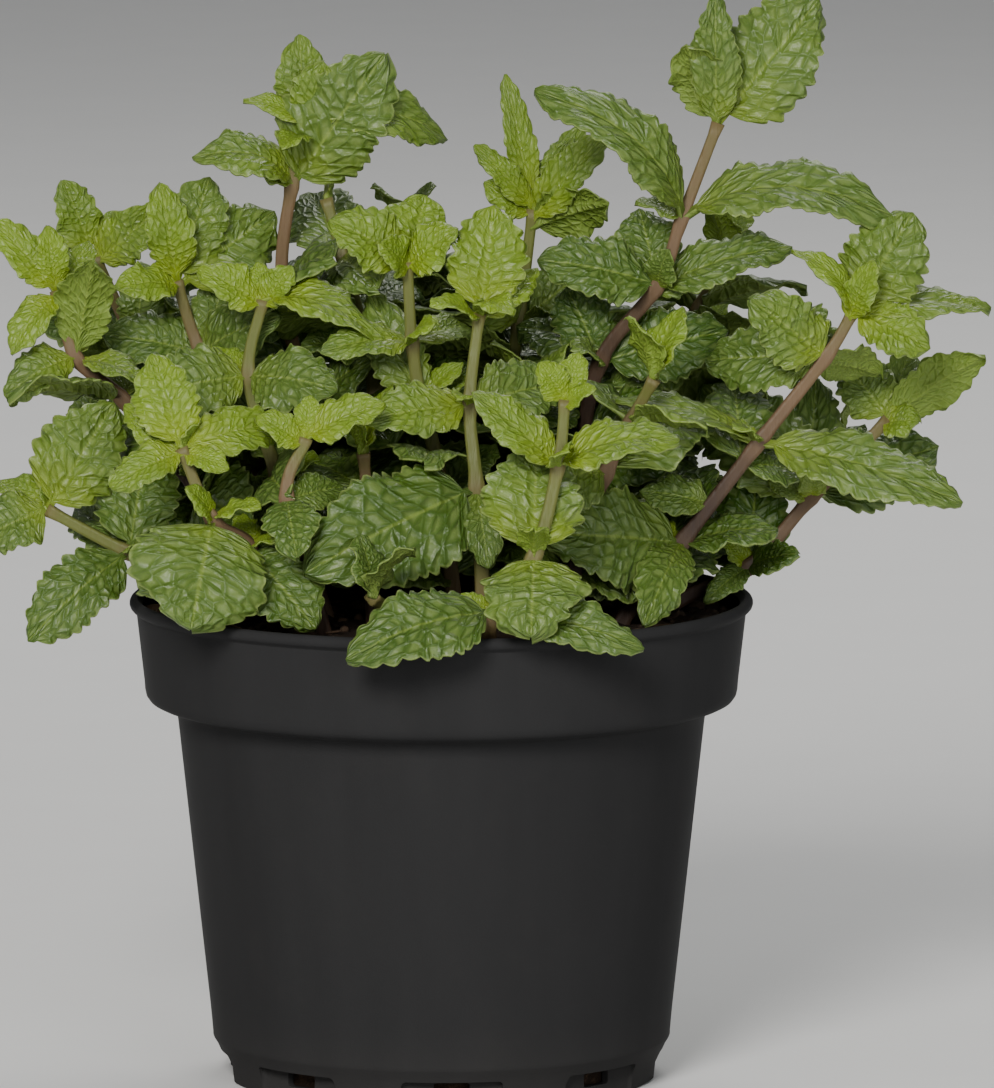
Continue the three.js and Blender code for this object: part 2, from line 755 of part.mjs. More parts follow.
function growStems(fixed) {
  const draw = seededDraw(20011);
  const entries = [...FRONT_STEMS, ...BACK_STEMS];
  const stems = entries.map((entry) => (entry.way ? frontStem(entry) : backStem(entry)));
  const pieces = stems.map((stem) => [pieceOf(stemSolid(stem, 0))]);
  const place = (leaf, i) => {
    const others = pieces.flatMap((list, k) => (k === i ? [] : list)).concat(fixed);
    const settled = settleLeaf(leaf, pieces[i].slice(1), others);
    if (settled) pieces[i].push(pieceOf(leafSolid(settled, BLADE_THICKNESS)));
  };
  stems.forEach((stem, i) => stem.leaves.forEach((leaf) => place(leaf, i)));
  stems.forEach((stem, i) => {
    rulePairs(stem, entries[i], draw).forEach((leaf) => place(leaf, i));
  });
  return stems.map((stem, i) => {
    const solid = wasm.Manifold.union(pieces[i].map((piece) => piece.solid));
    return { ...stem, solid };
  });
}

// Colours and finishes

function material(name, color, roughness) {
  return new THREE.MeshStandardMaterial({ name, color, roughness, metalness: 0 });
}

const BLACK_PLASTIC = 0x2e2e2e;
const DARK_SOIL = 0x2c2019;
const YOUNG_GREEN = 0x7f9f3a;
const MATURE_GREEN = 0x64873c;

function named(name, solid, finish) {
  const mesh = new THREE.Mesh(geometryOf(solid), finish);
  mesh.name = name;
  return mesh;
}

// Assembly

const plant = new THREE.Group();
plant.name = "potted_mint_plant";

const pot = potSolid();
const ground = soilFill();
const stems = growStems([pieceOf(pot), pieceOf(ground)]);
plant.add(named("pot", pot, material("black plastic", BLACK_PLASTIC, 0.55)));
plant.add(named("potting_soil", soilSolid(stems), material("potting soil", DARK_SOIL, 0.95)));
stems.forEach((stem, i) => {
  const green = i % 2 ? MATURE_GREEN : YOUNG_GREEN;
  const finish = material(`mint ${stem.name}`, green, 0.6);
  plant.add(named(`leafy_stem_${stem.name}`, stem.solid, finish));
});

export default plant;
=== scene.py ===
"""A potted mint plant: quilted leaves on square stems, in a black nursery pot.

Sizes inside the script are millimetres, and a mesh gets its metres when its points are placed.
"""

import math

import bpy
import numpy as np
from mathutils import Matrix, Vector, kdtree, noise
from mathutils.bvhtree import BVHTree


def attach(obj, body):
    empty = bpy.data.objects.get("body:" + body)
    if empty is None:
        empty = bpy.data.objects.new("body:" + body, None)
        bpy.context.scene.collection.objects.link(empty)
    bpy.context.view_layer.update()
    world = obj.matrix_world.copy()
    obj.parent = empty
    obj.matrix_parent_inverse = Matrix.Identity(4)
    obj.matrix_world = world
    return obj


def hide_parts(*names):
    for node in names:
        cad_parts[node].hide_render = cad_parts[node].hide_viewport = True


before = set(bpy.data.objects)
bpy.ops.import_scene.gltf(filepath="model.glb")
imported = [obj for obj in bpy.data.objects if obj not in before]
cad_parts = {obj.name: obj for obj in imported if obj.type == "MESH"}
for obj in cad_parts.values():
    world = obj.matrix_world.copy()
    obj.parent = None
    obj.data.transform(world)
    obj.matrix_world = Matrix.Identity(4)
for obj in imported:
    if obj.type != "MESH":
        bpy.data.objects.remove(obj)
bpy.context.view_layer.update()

bl_info = {
    "name": "Potted mint plant",
    "version": (1, 0, 0),
    "blender": (4, 5, 0),
    "location": "View3D > Sidebar > Mint",
    "description": "Models a bushy mint plant in a black plastic nursery pot",
    "category": "Add Mesh",
}

MM = 0.001

# Pot, as the CAD pot is: its profile is worked out from these
POT_HEIGHT = 101
LIP_RADIUS = 65
LIP_DEPTH = 1.2
LIP_RISE = 1.3
BAND_TOP_RADIUS = 63.6
BAND_FOOT_RADIUS = 61.8
LEDGE_HEIGHT = 78
BODY_TOP_RADIUS = 55.2
BODY_FOOT_RADIUS = 47.7
FOOT_EDGE_HEIGHT = 8.8
FOOT_RADIUS = 45
WALL = 1.5
FLOOR = 2
POT_SEGMENTS = 144
POT_CREASE = 34

# Notches and drain windows round the foot
NOTCHES = 8
NOTCH_WIDTH = 21
NOTCH_HEIGHT = 6
NOTCH_DEPTH_RADIUS = 43.2
NOTCH_FIRST_ANGLE = -87
NOTCH_EDGE = 0.9
CUT_REACH = 12
DRAIN_WIDTH = 7.5
DRAIN_FOOT = 2.4
DRAIN_TOP = 5.4
DRAIN_EDGE = 0.6

# Soil
SOIL_EDGE_LEVEL = 96.5
SOIL_MOUND = 2.5
SOIL_GAP = 0.35
SOIL_SEGMENTS = 120
SOIL_RINGS = 46
SOIL_CREASE = 60
LUMP_HEIGHT = 1.1
CRUMB_COUNT = 620
CRUMB_REACH = 59.5
FIBRE_COUNT = 60
FIBRE_REACH = 58

# Stems and leaves
STEM_FOOT = 1.8
STEM_TOP = 1.1
STEM_BURIED = 12
STEM_RINGS = 44
STEM_SIDES = 16
KNOT_REACH = 2.0
STALK_SHARE = 0.1
STALK_HALF = 0.8
FOLD_START = 0.34
FOLD_FALL = 0.012
FOLD_LEAST = 0.1
SISTER_STEP = 1.3
GREEN_TONE = 0.75
WOODY_TONE = 0.2
GREEN_STEMS = ["front_slender", "front_tall", "front_centre", "top_centre"]
GREEN_STEMS += ["middle_left", "inner_front", "left_low", "left_inner"]
# Share of the young tone that the leaves of these stems keep
CALM_STEMS = {"inner_front": 0.35, "tall_right": 0.65, "tall_left": 0.9, "left_low": 0.85}

# A seed for each run of draws
GROWTH_SEED = 20011
CRUMB_SEED = 731
STEM_SEED = 97
LEAF_SEED = 4409

# Leaf pairs by rule, as in the CAD source. A pair of angles is the least one and the spread.
NODE_SPACING = 13
MOST_NODES = 5
PAIR_SHRINK = 0.42
PAIR_WIDTH_SHARE = 0.6
PAIR_ARCH = 0.14
PAIR_SWING = 24
PAIR_RISE = (-6, 34)
PAIR_TURN = (15, 45)
CROWN_LENGTH = 14
CROWN_RISE = (55, 14)

# Bending a leaf clear of its neighbours, as in the CAD source
BEND_RINGS = 6
BEND_SPOKES = 8
BEND_STEP = 5
SHRINK_STEP = 0.04
TIP_MATCH = 0.06
LOWEST_RISE = -80
HIGHEST_RISE = 88

# The front view that the front stems' places are given in
VIEW_DISTANCE = 3000
VIEW_HEIGHT = 524

# Camera: the photograph is 994 by 1088, with 4.8 pixels to a millimetre at the pot's axis
CAMERA_PLACE = (11.6, -VIEW_DISTANCE, VIEW_HEIGHT)
CAMERA_AIM = (11.6, 0, 111.8)
CAMERA_LENS = 480.9
CAMERA_SENSOR = 36

# Front stems, as the front view shows them: the name, the foot (x, y) on the soil, then
# nodes from the soil up, (x, depth, z),
# leaves, (node, tip x, depth, z, width, turn, arch), with turn 0 facing up, 90 facing the
# front and -90 showing the underside, and
# pairs of plain leaves, (node, length, direction).
FRONT_STEMS = [
    ("tall_right", (22, 6),
     [(28, 4, 126), (33, 0, 150), (45, -3, 166), (50, -3, 180), (57.5, -2, 200)],
     [(3, 19.5, -12, 209, 13.5, 46, 0.44), (3, 95.5, -10, 182, 14.5, 36, 0.36),
      (4, 78.5, 0, 226, 20, 80, 0.08), (4, 50, -8, 218, 12.5, -68, 0.12),
      (4, 57, -4, 230, 10, 74, 0.06), (2, 20, -8, 172, 14, 62, 0.16), (2, 41, 6, 183, 13, 72, 0.1),
      (2, 73, -4, 175, 12, 42, 0.16), (2, 64.5, 8, 173.5, 6, 60, 0.1), (2, 58, 2, 178, 9, 62, 0.1),
      (1, 60, 2, 157, 15, 68, 0.12), (1, 26, 6, 166, 13, 55, 0.12)],
     [(0, 34, 70)]),
    ("tall_left", (-18, 10),
     [(-26, 10, 135), (-33, 8, 165), (-31, 7, 187), (-28, 6, 199)],
     [(2, -52, 0, 193.5, 11.5, 42, 0.5), (2, -12, -2, 214, 21, 82, 0.08),
      (3, -41, 2, 205.5, 5.5, 42, 0.3), (3, 2.5, 14, 197, 11, 52, 0.5),
      (3, -33, 4, 219.5, 11, 74, 0.05), (3, -24, -6, 212, 11, 75, 0.1),
      (3, -33, -6, 196, 6, 40, 0.2)],
     [(1, 30, 100)]),
    ("far_left", (-34, -2),
     [(-50, -4, 122), (-66, -6, 142), (-76, -6, 151), (-80, -5, 165)],
     [(3, -93, -8, 180, 9, 60, 0.1), (3, -82, -8, 179, 7, 65, 0.08),
      (3, -90, -14, 152, 8, 40, 0.26), (2, -91, -14, 143, 10, 50, 0.25),
      (2, -72, -16, 173, 12, -65, 0.1), (2, -61, -14, 146, 9, 20, 0.2),
      (3, -73, 4, 176, 8, 60, 0.1)],
     [(0, 30, 110), (1, 28, 20)]),
    ("far_left_back", (-38, 16),
     [(-50, 18, 130), (-64, 18, 155), (-72, 16, 172)],
     [(2, -78.5, 12, 188, 10, 64, 0.08), (2, -68, 14, 184, 7, 60, 0.1),
      (2, -57, 8, 183, 11, 72, 0.1), (2, -86, 24, 171, 10, 50, 0.2),
      (1, -41, 4, 149, 14, 60, 0.15), (1, -84, 26, 160, 13, 50, 0.15),
      (1, -62, 14, 170, 10, 60, 0.12)],
     [(0, 32, 100)]),
    ("left_middle", (-28, 0),
     [(-38, 2, 128), (-50, 4, 152), (-55, 4, 167)],
     [(2, -58, -2, 187, 10, 70, 0.1), (2, -48, 8, 189, 15, 80, 0.08),
      (2, -33, 10, 182.5, 17, 75, 0.12), (2, -68, -6, 166, 9, 50, 0.2),
      (1, -34, -8, 160, 14, 60, 0.15), (1, -66, 8, 140, 14, 60, 0.15),
      (1, -45, 8, 168, 11, 65, 0.12)],
     [(0, 32, 100)]),
    ("left_inner", (-24, -16),
     [(-34, -15, 126), (-40, -13, 147), (-37, -12, 163)],
     [(2, -38, -12, 171, 6, 65, 0.08), (2, -12, -20, 155, 11, 32, 0.36),
      (2, -50, -16, 170, 9, 55, 0.15), (2, -31, -16, 170, 7, 60, 0.1),
      (1, -62, -22, 143, 15, 62, 0.15), (1, -22, -26, 145, 14, 62, 0.15)],
     [(0, 30, 100)]),
    ("front_slender", (3, -16),
     [(-1, -16, 129), (-4, -15, 141), (-6, -15, 154), (-7, -15, 171)],
     [(3, -3, -12, 185, 15, 78, 0.06), (3, -23, -20, 180, 13, 62, 0.15),
      (3, 3, -22, 178, 10, 60, 0.15), (3, -12, -24, 175, 8, 60, 0.1),
      (2, -25, -26, 152, 9, 42, 0.2), (2, 7, 2, 158, 8, 50, 0.15), (1, -15, -8, 165, 12, 60, 0.1)],
     [(0, 30, 120)]),
    ("front_tall", (9, -32),
     [(7.5, -31, 123.5), (6, -27, 141), (8, -23, 160)],
     [(2, 11, -18, 183, 16, 84, 0.06), (2, 15, -36, 160.5, 7, 25, 0.35),
      (2, -2, -32, 163, 6, 30, 0.2), (2, 20, -14, 170, 8, 60, 0.1),
      (0, -28, -50, 106.5, 24, 68, 0.12), (0, 10, -42, 107, 9, 75, 0.12),
      (1, 26, -16, 146, 14, 66, 0.12), (1, -16, -36, 138, 12, 62, 0.12)],
     []),
    ("front_left_short", (-24, -37),
     [(-32, -40, 121), (-28, -38, 134)],
     [(1, -27, -38, 143, 6, 70, 0.06), (1, -12, -42, 144, 9, 50, 0.15),
      (1, -38, -42, 139, 7, 60, 0.12), (0, -30, -54, 109.5, 11, 74, 0.15),
      (0, -20, -30, 124, 9, 60, 0.12)],
     []),
    ("left_front", (-34, -32),
     [(-40, -38, 111), (-47.5, -42, 117), (-54, -41, 132)],
     [(2, -60, -38, 152, 13, 72, 0.08), (2, -32, -32, 138, 11, 58, 0.15),
      (2, -44, -46, 128, 6, 50, 0.15), (2, -69, -48, 124, 9, 50, 0.2),
      (2, -66, -34, 141, 8, 60, 0.1), (1, -52, -57, 94, 28, 76, 0.14),
      (0, -26, -48, 94, 15, 72, 0.14)],
     []),
    ("left_low", (-42, -14),
     [(-52, -18, 105), (-65, -18, 110), (-82, -16, 119)],
     [(2, -68, -15, 141.5, 18, 76, 0.08), (2, -96, -20, 113, 13, 60, 0.15),
      (2, -92, -10, 126, 8, 50, 0.12), (1, -86.5, -28, 91.5, 14, 62, 0.22),
      (1, -61, -8, 135, 17, 78, 0.08), (0, -74, -4, 130, 13, 70, 0.12),
      (1, -77, 0, 121, 12, 66, 0.12), (0, -62, -34, 103, 12, 70, 0.15)],
     []),
    ("front_centre", (10, -56),
     [(11, -61, 97), (19.5, -60, 109), (24.5, -56, 128), (26, -54, 142)],
     [(0, -20, -76, 88.5, 16, 52, 0.24), (0, 43, -69, 91, 11, 50, 0.15),
      (1, 19, -74, 93, 21, 76, 0.14), (1, 20, -50, 134, 20, 82, 0.08),
      (2, 7, -60, 144, 10, 52, 0.1), (2, 50, -61, 135, 12, 38, 0.25),
      (3, 21, -57, 150, 7, 65, 0.08), (3, 29, -54, 152, 7, 70, 0.08),
      (3, 32, -59, 145, 5, 50, 0.1)],
     []),
    ("top_centre", (8, 14),
     [(12, 17, 130), (16, 19, 158), (19, 19, 182)],
     [(2, 13.5, 17, 210, 6.5, 66, 0.04), (2, 7, 14, 195.5, 6, 60, 0.16),
      (2, 9, 17, 188, 8, 58, 0.16), (2, 20, 19, 203.5, 8, 70, 0.05), (2, 25, 22, 205, 9, 68, 0.06),
      (2, 34, 12, 198, 9, 60, 0.12), (2, 35.5, 10, 184, 13, -72, 0.12),
      (1, 2, 6, 172, 13, 62, 0.12), (1, 34, 26, 172, 13, 62, 0.12)],
     [(0, 32, 80)]),
    ("right", (38, -18),
     [(50, -17, 112), (66, -15, 133), (80, -13, 151), (86, -12, 161)],
     [(1, 109, -26, 121, 14.5, 50, 0.14), (1, 37, -24, 144, 9, 25, 0.12),
      (0, 22, -36, 114, 21, 72, 0.12), (0, 40, -38, 92, 11, 68, 0.15),
      (2, 65, -22, 163, 14, 72, 0.08), (2, 54, -2, 151, 15, 72, 0.12),
      (2, 91, 0, 148, 10, -60, 0.12), (3, 98, -10, 181.5, 17.5, 76, 0.08),
      (3, 102, -16, 153, 12, 66, 0.15), (3, 73, -16, 174, 6.5, 40, 0.45),
      (3, 117, -6, 162.5, 10, 32, 0.14), (3, 90, -20, 172, 7, 60, 0.1),
      (2, 71, 2, 163, 13, 65, 0.12)],
     []),
    ("right_low", (48, 2),
     [(64, 2, 107), (77, 4, 121.5), (93, 6, 138)],
     [(2, 113, 6, 152.5, 11, -68, 0.12), (2, 84, 10, 150, 12, 70, 0.1),
      (2, 99, 0, 138, 9, 55, 0.12), (2, 98, 16, 154, 8, 60, 0.1), (0, 74, -8, 110, 8, 60, 0.15),
      (0, 55, -8, 100, 6, 60, 0.15), (0, 66, 12, 131, 15, 72, 0.12),
      (1, 54, 10, 146, 19, 75, 0.12), (1, 104, 14, 133, 16, 64, 0.12),
      (1, 78, 15, 147, 13, 74, 0.1), (1, 90, 17, 138, 10, 68, 0.1)],
     []),
]

# Stems of the middle and back, with leaf pairs by rule on the way up: the name, the foot,
# the top, the length of the lowest leaves and their direction
BACK_STEMS = [
    ("inner_front", (-6, -38), (-14, -52, 108), 24, 150),
    ("inner_left", (-14, -22), (-16, -24, 134), 28, 30),
    ("inner_middle", (14, -4), (18, -8, 142), 30, 20),
    ("middle_left", (-8, 0), (-24, 10, 183), 32, 10),
    ("middle_right", (32, 20), (60, 30, 168), 32, 60),
    ("middle_back", (-10, 28), (-8, 44, 170), 34, 30),
    ("middle_front", (26, -22), (44, -28, 150), 30, -50),
    ("back_left", (-30, 32), (-58, 58, 150), 34, 140),
    ("back_centre", (6, 44), (10, 76, 150), 34, 0),
    ("back_right", (30, 38), (56, 66, 146), 34, 40),
    ("side_left", (-48, 8), (-74, 30, 126), 25, 90),
    ("side_right", (50, 20), (84, 38, 130), 25, 90),
    ("back_low_left", (-20, 50), (-36, 84, 120), 32, 10),
    ("back_low_right", (22, 46), (34, 86, 118), 32, 170),
]

# Seeded draws


def seeded_draw(seed):
    """A function that draws evenly from least to least plus spread."""
    state = seed

    def draw(least=0.0, spread=1.0):
        nonlocal state
        state = (state * 16807) % 2147483647
        return least + spread * (state / 2147483647)

    return draw


# Leaf and stem places, in millimetres


def from_front(x, y, z):
    share = 1 + y / VIEW_DISTANCE
    return np.array([x * share, y, VIEW_HEIGHT + (z - VIEW_HEIGHT) * share])


def soil_level(x, y):
    share = math.hypot(x, y) / BAND_TOP_RADIUS
    return SOIL_EDGE_LEVEL + SOIL_MOUND * (1 - share * share)


def ground_point(foot):
    x, y = foot
    return np.array([x, y, soil_level(x, y) + 1])


def unit(vector):
    return vector / np.linalg.norm(vector)


def facing_of(azimuth, turn):
    heading, lean = math.radians(azimuth), math.radians(turn)
    level = math.sin(lean)
    return np.array([level * math.cos(heading), level * math.sin(heading), math.cos(lean)])


def bearing(base, length, azimuth, rise):
    heading, lift = math.radians(azimuth), math.radians(rise)
    reach = length * math.cos(lift)
    step = [reach * math.cos(heading), reach * math.sin(heading), length * math.sin(lift)]
    return base + np.array(step)


def make_leaf(base, tip, width, facing, arch, youth):
    fold = max(FOLD_LEAST, FOLD_START - FOLD_FALL * width)
    return dict(base=base, tip=tip, width=width, facing=facing, arch=arch, fold=fold, youth=youth)


def rule_leaf(base, length, azimuth, rise, turn, youth):
    outward = math.degrees(math.atan2(base[1], base[0]))
    tip = bearing(base, length, azimuth, rise)
    facing = facing_of(outward, turn)
    return make_leaf(base, tip, length * PAIR_WIDTH_SHARE, facing, PAIR_ARCH, youth)


def leaf_pair(base, length, azimuth, draw, youth):
    pair = []
    for half in (0, 180):
        size = length * draw(0.9, 0.2)
        heading = azimuth + half + PAIR_SWING * (draw() - 0.5)
        rise = draw(*PAIR_RISE)
        pair.append(rule_leaf(base, size, heading, rise, draw(*PAIR_TURN), youth))
    return pair


def crown_pair(base, azimuth, draw):
    pair = []
    for half in (0, 180):
        size = CROWN_LENGTH * draw(0.9, 0.3)
        pair.append(rule_leaf(base, size, azimuth + half, draw(*CROWN_RISE), 0, 1.0))
    return pair


def root_below(nodes, node, steps):
    below = nodes[node - 1] if node > 0 else nodes[node] - np.array([0, 0, 1])
    return nodes[node] + unit(below - nodes[node]) * SISTER_STEP * steps


def new_stem(name, foot, nodes, leaves, front):
    stem = {"name": name, "node": "leafy_stem_" + name, "front": front}
    return {**stem, "way": [ground_point(foot), *nodes], "nodes": nodes, "leaves": leaves}


def front_stem(draw, name, foot, way, places, pairs):
    nodes = [from_front(*place) for place in way]
    counts = [0] * len(nodes)
    last = len(nodes) - 1
    leaves = []
    for node, x, y, z, width, turn, arch in places:
        base = root_below(nodes, node, counts[node] // 2)
        counts[node] += 1
        facing = facing_of(-90, turn)
        leaves.append(make_leaf(base, from_front(x, y, z), width, facing, arch, node / last))
    for node, length, azimuth in pairs:
        leaves += leaf_pair(nodes[node], length, azimuth, draw, 0.5 * node / last)
    return new_stem(name, foot, nodes, leaves, True)


def back_stem(draw, name, foot, top, lowest, start):
    ground = ground_point(foot)
    climb = np.array(top, float) - ground
    count = min(MOST_NODES, math.floor(np.linalg.norm(climb) / NODE_SPACING + 0.5))
    nodes = []
    for i in range(count):
        share = ((i + 1) / count) ** 0.85
        lean, lift = share**1.35, share**0.85
        nodes.append(ground + climb * np.array([lean, lean, lift]))
    last = count - 1
    leaves = []
    for i in range(last):
        size = lowest * (1 - PAIR_SHRINK * (i / last) ** 2)
        leaves += leaf_pair(nodes[i], size, start + 90 * i, draw, 0.8 * i / last)
    leaves += crown_pair(nodes[last], start + 90 * last, draw)
    return new_stem(name, foot, nodes, leaves, False)


def bent_tips(leaf):
    along = leaf["tip"] - leaf["base"]
    length = np.linalg.norm(along)
    azimuth = math.degrees(math.atan2(along[1], along[0]))
    rise = math.degrees(math.asin(along[2] / length))
    yield leaf["tip"]
    for ring in range(1, BEND_RINGS + 1):
        for spoke in range(BEND_SPOKES):
            turn = math.radians(360 / BEND_SPOKES * spoke)
            swing = BEND_STEP * ring * math.cos(turn)
            lift = rise + BEND_STEP * ring * math.sin(turn)
            new_rise = min(HIGHEST_RISE, max(LOWEST_RISE, lift))
            size = length * (1 - SHRINK_STEP * ring)
            yield bearing(leaf["base"], size, azimuth + swing, new_rise)


def corner_tree(node):
    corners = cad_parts[node].data.vertices
    tree = kdtree.KDTree(len(corners))
    for i, corner in enumerate(corners):
        tree.insert(corner.co / MM, i)
    tree.balance()
    return tree


def settled(leaf, tree):
    """The leaf as the CAD solid holds it, or None where the solid has no such leaf."""
    for tip in bent_tips(leaf):
        if tree.find(Vector(tip))[2] < TIP_MATCH:
            return {**leaf, "tip": tip}
    return None


def grown_stems():
    """Every leafy stem with its way up and its leaves, matched to its CAD node."""
    draw = seeded_draw(GROWTH_SEED)
    stems = [front_stem(draw, *entry) for entry in FRONT_STEMS]
    stems += [back_stem(draw, *entry) for entry in BACK_STEMS]
    for stem in stems:
        tree = corner_tree(stem["node"])
        placed = [settled(leaf, tree) for leaf in stem["leaves"]]
        stem["leaves"] = [leaf for leaf in placed if leaf]
    return stems


# Modelling helpers


def metres(values):
    return [value * MM for value in values]


def clear_selection():
    if bpy.context.mode != "OBJECT":
        bpy.ops.object.mode_set(mode="OBJECT")
    bpy.ops.object.select_all(action="DESELECT")


def take(piece):
    clear_selection()
    piece.select_set(True)
    bpy.context.view_layer.objects.active = piece


def apply_modifier(piece, kind, **values):
    take(piece)
    bpy.ops.object.modifier_add(type=kind)
    modifier = piece.modifiers[-1]
    for name, value in values.items():
        setattr(modifier, name, value)
    bpy.ops.object.modifier_apply(modifier=modifier.name)


def settle_transform(piece):
    take(piece)
    bpy.ops.object.transform_apply(location=True, rotation=True, scale=True)


def newest(name):
    """The piece just added, with its place and size settled in its mesh."""
    piece = bpy.context.active_object
    piece.name = name
    settle_transform(piece)
    return piece


def smooth(piece, degrees=None):
    take(piece)
    if degrees is None:
        bpy.ops.object.shade_smooth()
    else:
        bpy.ops.object.shade_smooth_by_angle(angle=math.radians(degrees))


def edit(piece, selection):
    take(piece)
    bpy.ops.object.mode_set(mode="EDIT")
    bpy.ops.mesh.select_all(action=selection)


def face_outwards(piece):
    edit(piece, "SELECT")
    bpy.ops.mesh.normals_make_consistent(inside=False)
    bpy.ops.object.mode_set(mode="OBJECT")


def points_of(piece):
    flat = np.empty(len(piece.data.vertices) * 3)
    piece.data.vertices.foreach_get("co", flat)
    return flat.reshape(-1, 3)


def place_points(piece, points):
    piece.data.vertices.foreach_set("co", np.ascontiguousarray(points, dtype=float).ravel())
    piece.data.update()


def paint(piece, name, values):
    attribute = piece.data.attributes.get(name)
    if attribute is None:
        attribute = piece.data.attributes.new(name, "FLOAT", "POINT")
    count = len(piece.data.vertices)
    spread = np.broadcast_to(np.asarray(values, dtype=float), (count,))
    attribute.data.foreach_set("value", np.ascontiguousarray(spread))


def copy_of(master, name):
    piece = master.copy()
    piece.data = master.data.copy()
    piece.name = name
    bpy.context.scene.collection.objects.link(piece)
    return piece


def join_pieces(pieces, name):
    clear_selection()
    for piece in pieces:
        piece.select_set(True)
    bpy.context.view_layer.objects.active = pieces[0]
    bpy.ops.object.join()
    joined = bpy.context.view_layer.objects.active
    joined.name = name
    joined.data.name = name
    return joined


def drop(piece):
    bpy.data.objects.remove(piece, do_unlink=True)


def dress(piece, material):
    piece.data.materials.clear()
    piece.data.materials.append(material)


def declare(piece, material, slot, *nodes):
    dress(piece, material)
    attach(piece, "root")
    if nodes:
        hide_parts(*nodes)


def turned(name, profile, segments):
    """A closed turned shape: a filled disc, then one extruded ring for each further point."""
    clear_selection()
    radius, height = profile[0]
    bpy.ops.mesh.primitive_circle_add(
        vertices=segments, radius=radius * MM, fill_type="NGON", location=(0, 0, height * MM)
    )
    piece = newest(name)
    edit(piece, "SELECT")
    for next_radius, next_height in profile[1:]:
        rise = (next_height - height) * MM
        bpy.ops.mesh.extrude_region_move(TRANSFORM_OT_translate={"value": (0, 0, rise)})
        grow = next_radius / radius
        centre = (0, 0, next_height * MM)
        bpy.ops.transform.resize(value=(grow, grow, 1), center_override=centre)
        radius, height = next_radius, next_height
    bpy.ops.object.mode_set(mode="OBJECT")
    face_outwards(piece)
    return piece


# Shader helpers


class Recipe:
    """A node material under construction, with the shader's own sockets set directly."""

    def __init__(self, name, roughness, specular):
        self.material = bpy.data.materials.new(name)
        self.material.use_nodes = True
        self.tree = self.material.node_tree
        self.shader = self.tree.nodes["Principled BSDF"]
        self.set("Roughness", roughness)
        self.set("Specular IOR Level", specular)

    def set(self, name, value):
        self.feed(self.shader.inputs[name], value)

    def add(self, kind, inputs=None, **values):
        node = self.tree.nodes.new(kind)
        for name, value in values.items():
            setattr(node, name, value)
        for name, value in (inputs or {}).items():
            self.feed(node.inputs[name], value)
        return node

    def feed(self, socket, value):
        if isinstance(value, bpy.types.NodeSocket):
            self.tree.links.new(value, socket)
        else:
            socket.default_value = value

    def calc(self, operation, *values):
        node = self.add("ShaderNodeMath", operation=operation)
        for socket, value in zip(node.inputs, values):
            self.feed(socket, value)
        return node.outputs[0]

    def times(self, first, second):
        return self.calc("MULTIPLY", first, second)

    def line(self, value, slope, start):
        return self.calc("MULTIPLY_ADD", value, slope, start)

    def ramp(self, value, low, high):
        """Zero at low and one at high, eased between them."""
        inputs = {"Value": value, "From Min": low, "From Max": high}
        node = self.add("ShaderNodeMapRange", inputs, interpolation_type="SMOOTHSTEP")
        return node.outputs["Result"]

    def mix(self, share, first, second):
        node = self.add("ShaderNodeMix", data_type="RGBA")
        self.feed(node.inputs[0], share)
        for i, colour in ((6, first), (7, second)):
            linked = isinstance(colour, bpy.types.NodeSocket)
            self.feed(node.inputs[i], colour if linked else (*colour[:3], 1.0))
        return node.outputs[2]

    def layered(self, colour, *layers):
        """The colour with further colours over it, each by its own share."""
        for share, over in layers:
            colour = self.mix(share, colour, over)
        return colour

    def place(self):
        return self.add("ShaderNodeTexCoord").outputs["Object"]

    def stretched(self, vector, scale):
        return self.add("ShaderNodeMapping", {"Vector": vector, "Scale": scale}).outputs[0]

    def noise(self, vector, scale, detail=3.0, roughness=0.5):
        inputs = {"Vector": vector, "Scale": scale, "Detail": detail, "Roughness": roughness}
        return self.add("ShaderNodeTexNoise", inputs).outputs["Fac"]

    def cell_edges(self, x, y):
        """Distance to the nearest edge in a net of uneven cells."""
        spot = self.add("ShaderNodeCombineXYZ", {"X": x, "Y": y}).outputs["Vector"]
        inputs = {"Vector": spot, "Scale": 1.0, "Randomness": 0.85}
        kind = {"voronoi_dimensions": "2D", "feature": "DISTANCE_TO_EDGE"}
        return self.add("ShaderNodeTexVoronoi", inputs, **kind).outputs["Distance"]

    def attribute(self, name):
        return self.add("ShaderNodeAttribute", attribute_name=name).outputs["Fac"]

    def bump(self, height, strength, distance):
        inputs = {"Height": height, "Strength": strength, "Distance": distance}
        self.set("Normal", self.add("ShaderNodeBump", inputs).outputs[0])


# Materials

PEAT = (0.012, 0.007, 0.004)
DUST = (0.2, 0.17, 0.14)
# Cells of the leaf's net from one side vein to the next, and from edge to edge
CELL_COLUMNS = 1.6
CELL_ROWS = 7.0


def pot_plastic(sizes):
    recipe = Recipe("black polypropylene", 0.55, 0.008)
    place = recipe.place()
    grain = recipe.noise(place, 2600, 2)
    flow = recipe.noise(recipe.stretched(place, (1, 1, 0.12)), 90, 4)
    dust = recipe.noise(place, 55, 6, 0.65)
    height = recipe.add("ShaderNodeSeparateXYZ", {"Vector": place}).outputs["Z"]
    foot_dust = recipe.times(recipe.ramp(height, 0.02, 0.0), 0.03)
    dusty = recipe.line(recipe.ramp(dust, 0.5, 0.75), 0.012, foot_dust)
    plain = recipe.mix(flow, sizes.pot_dark, sizes.pot_light)
    recipe.set("Base Color", recipe.mix(dusty, plain, DUST))
    recipe.set("Roughness", recipe.line(dust, 0.16, 0.38))
    recipe.bump(recipe.line(flow, 0.5, grain), 0.1, 0.0002)
    return recipe.material


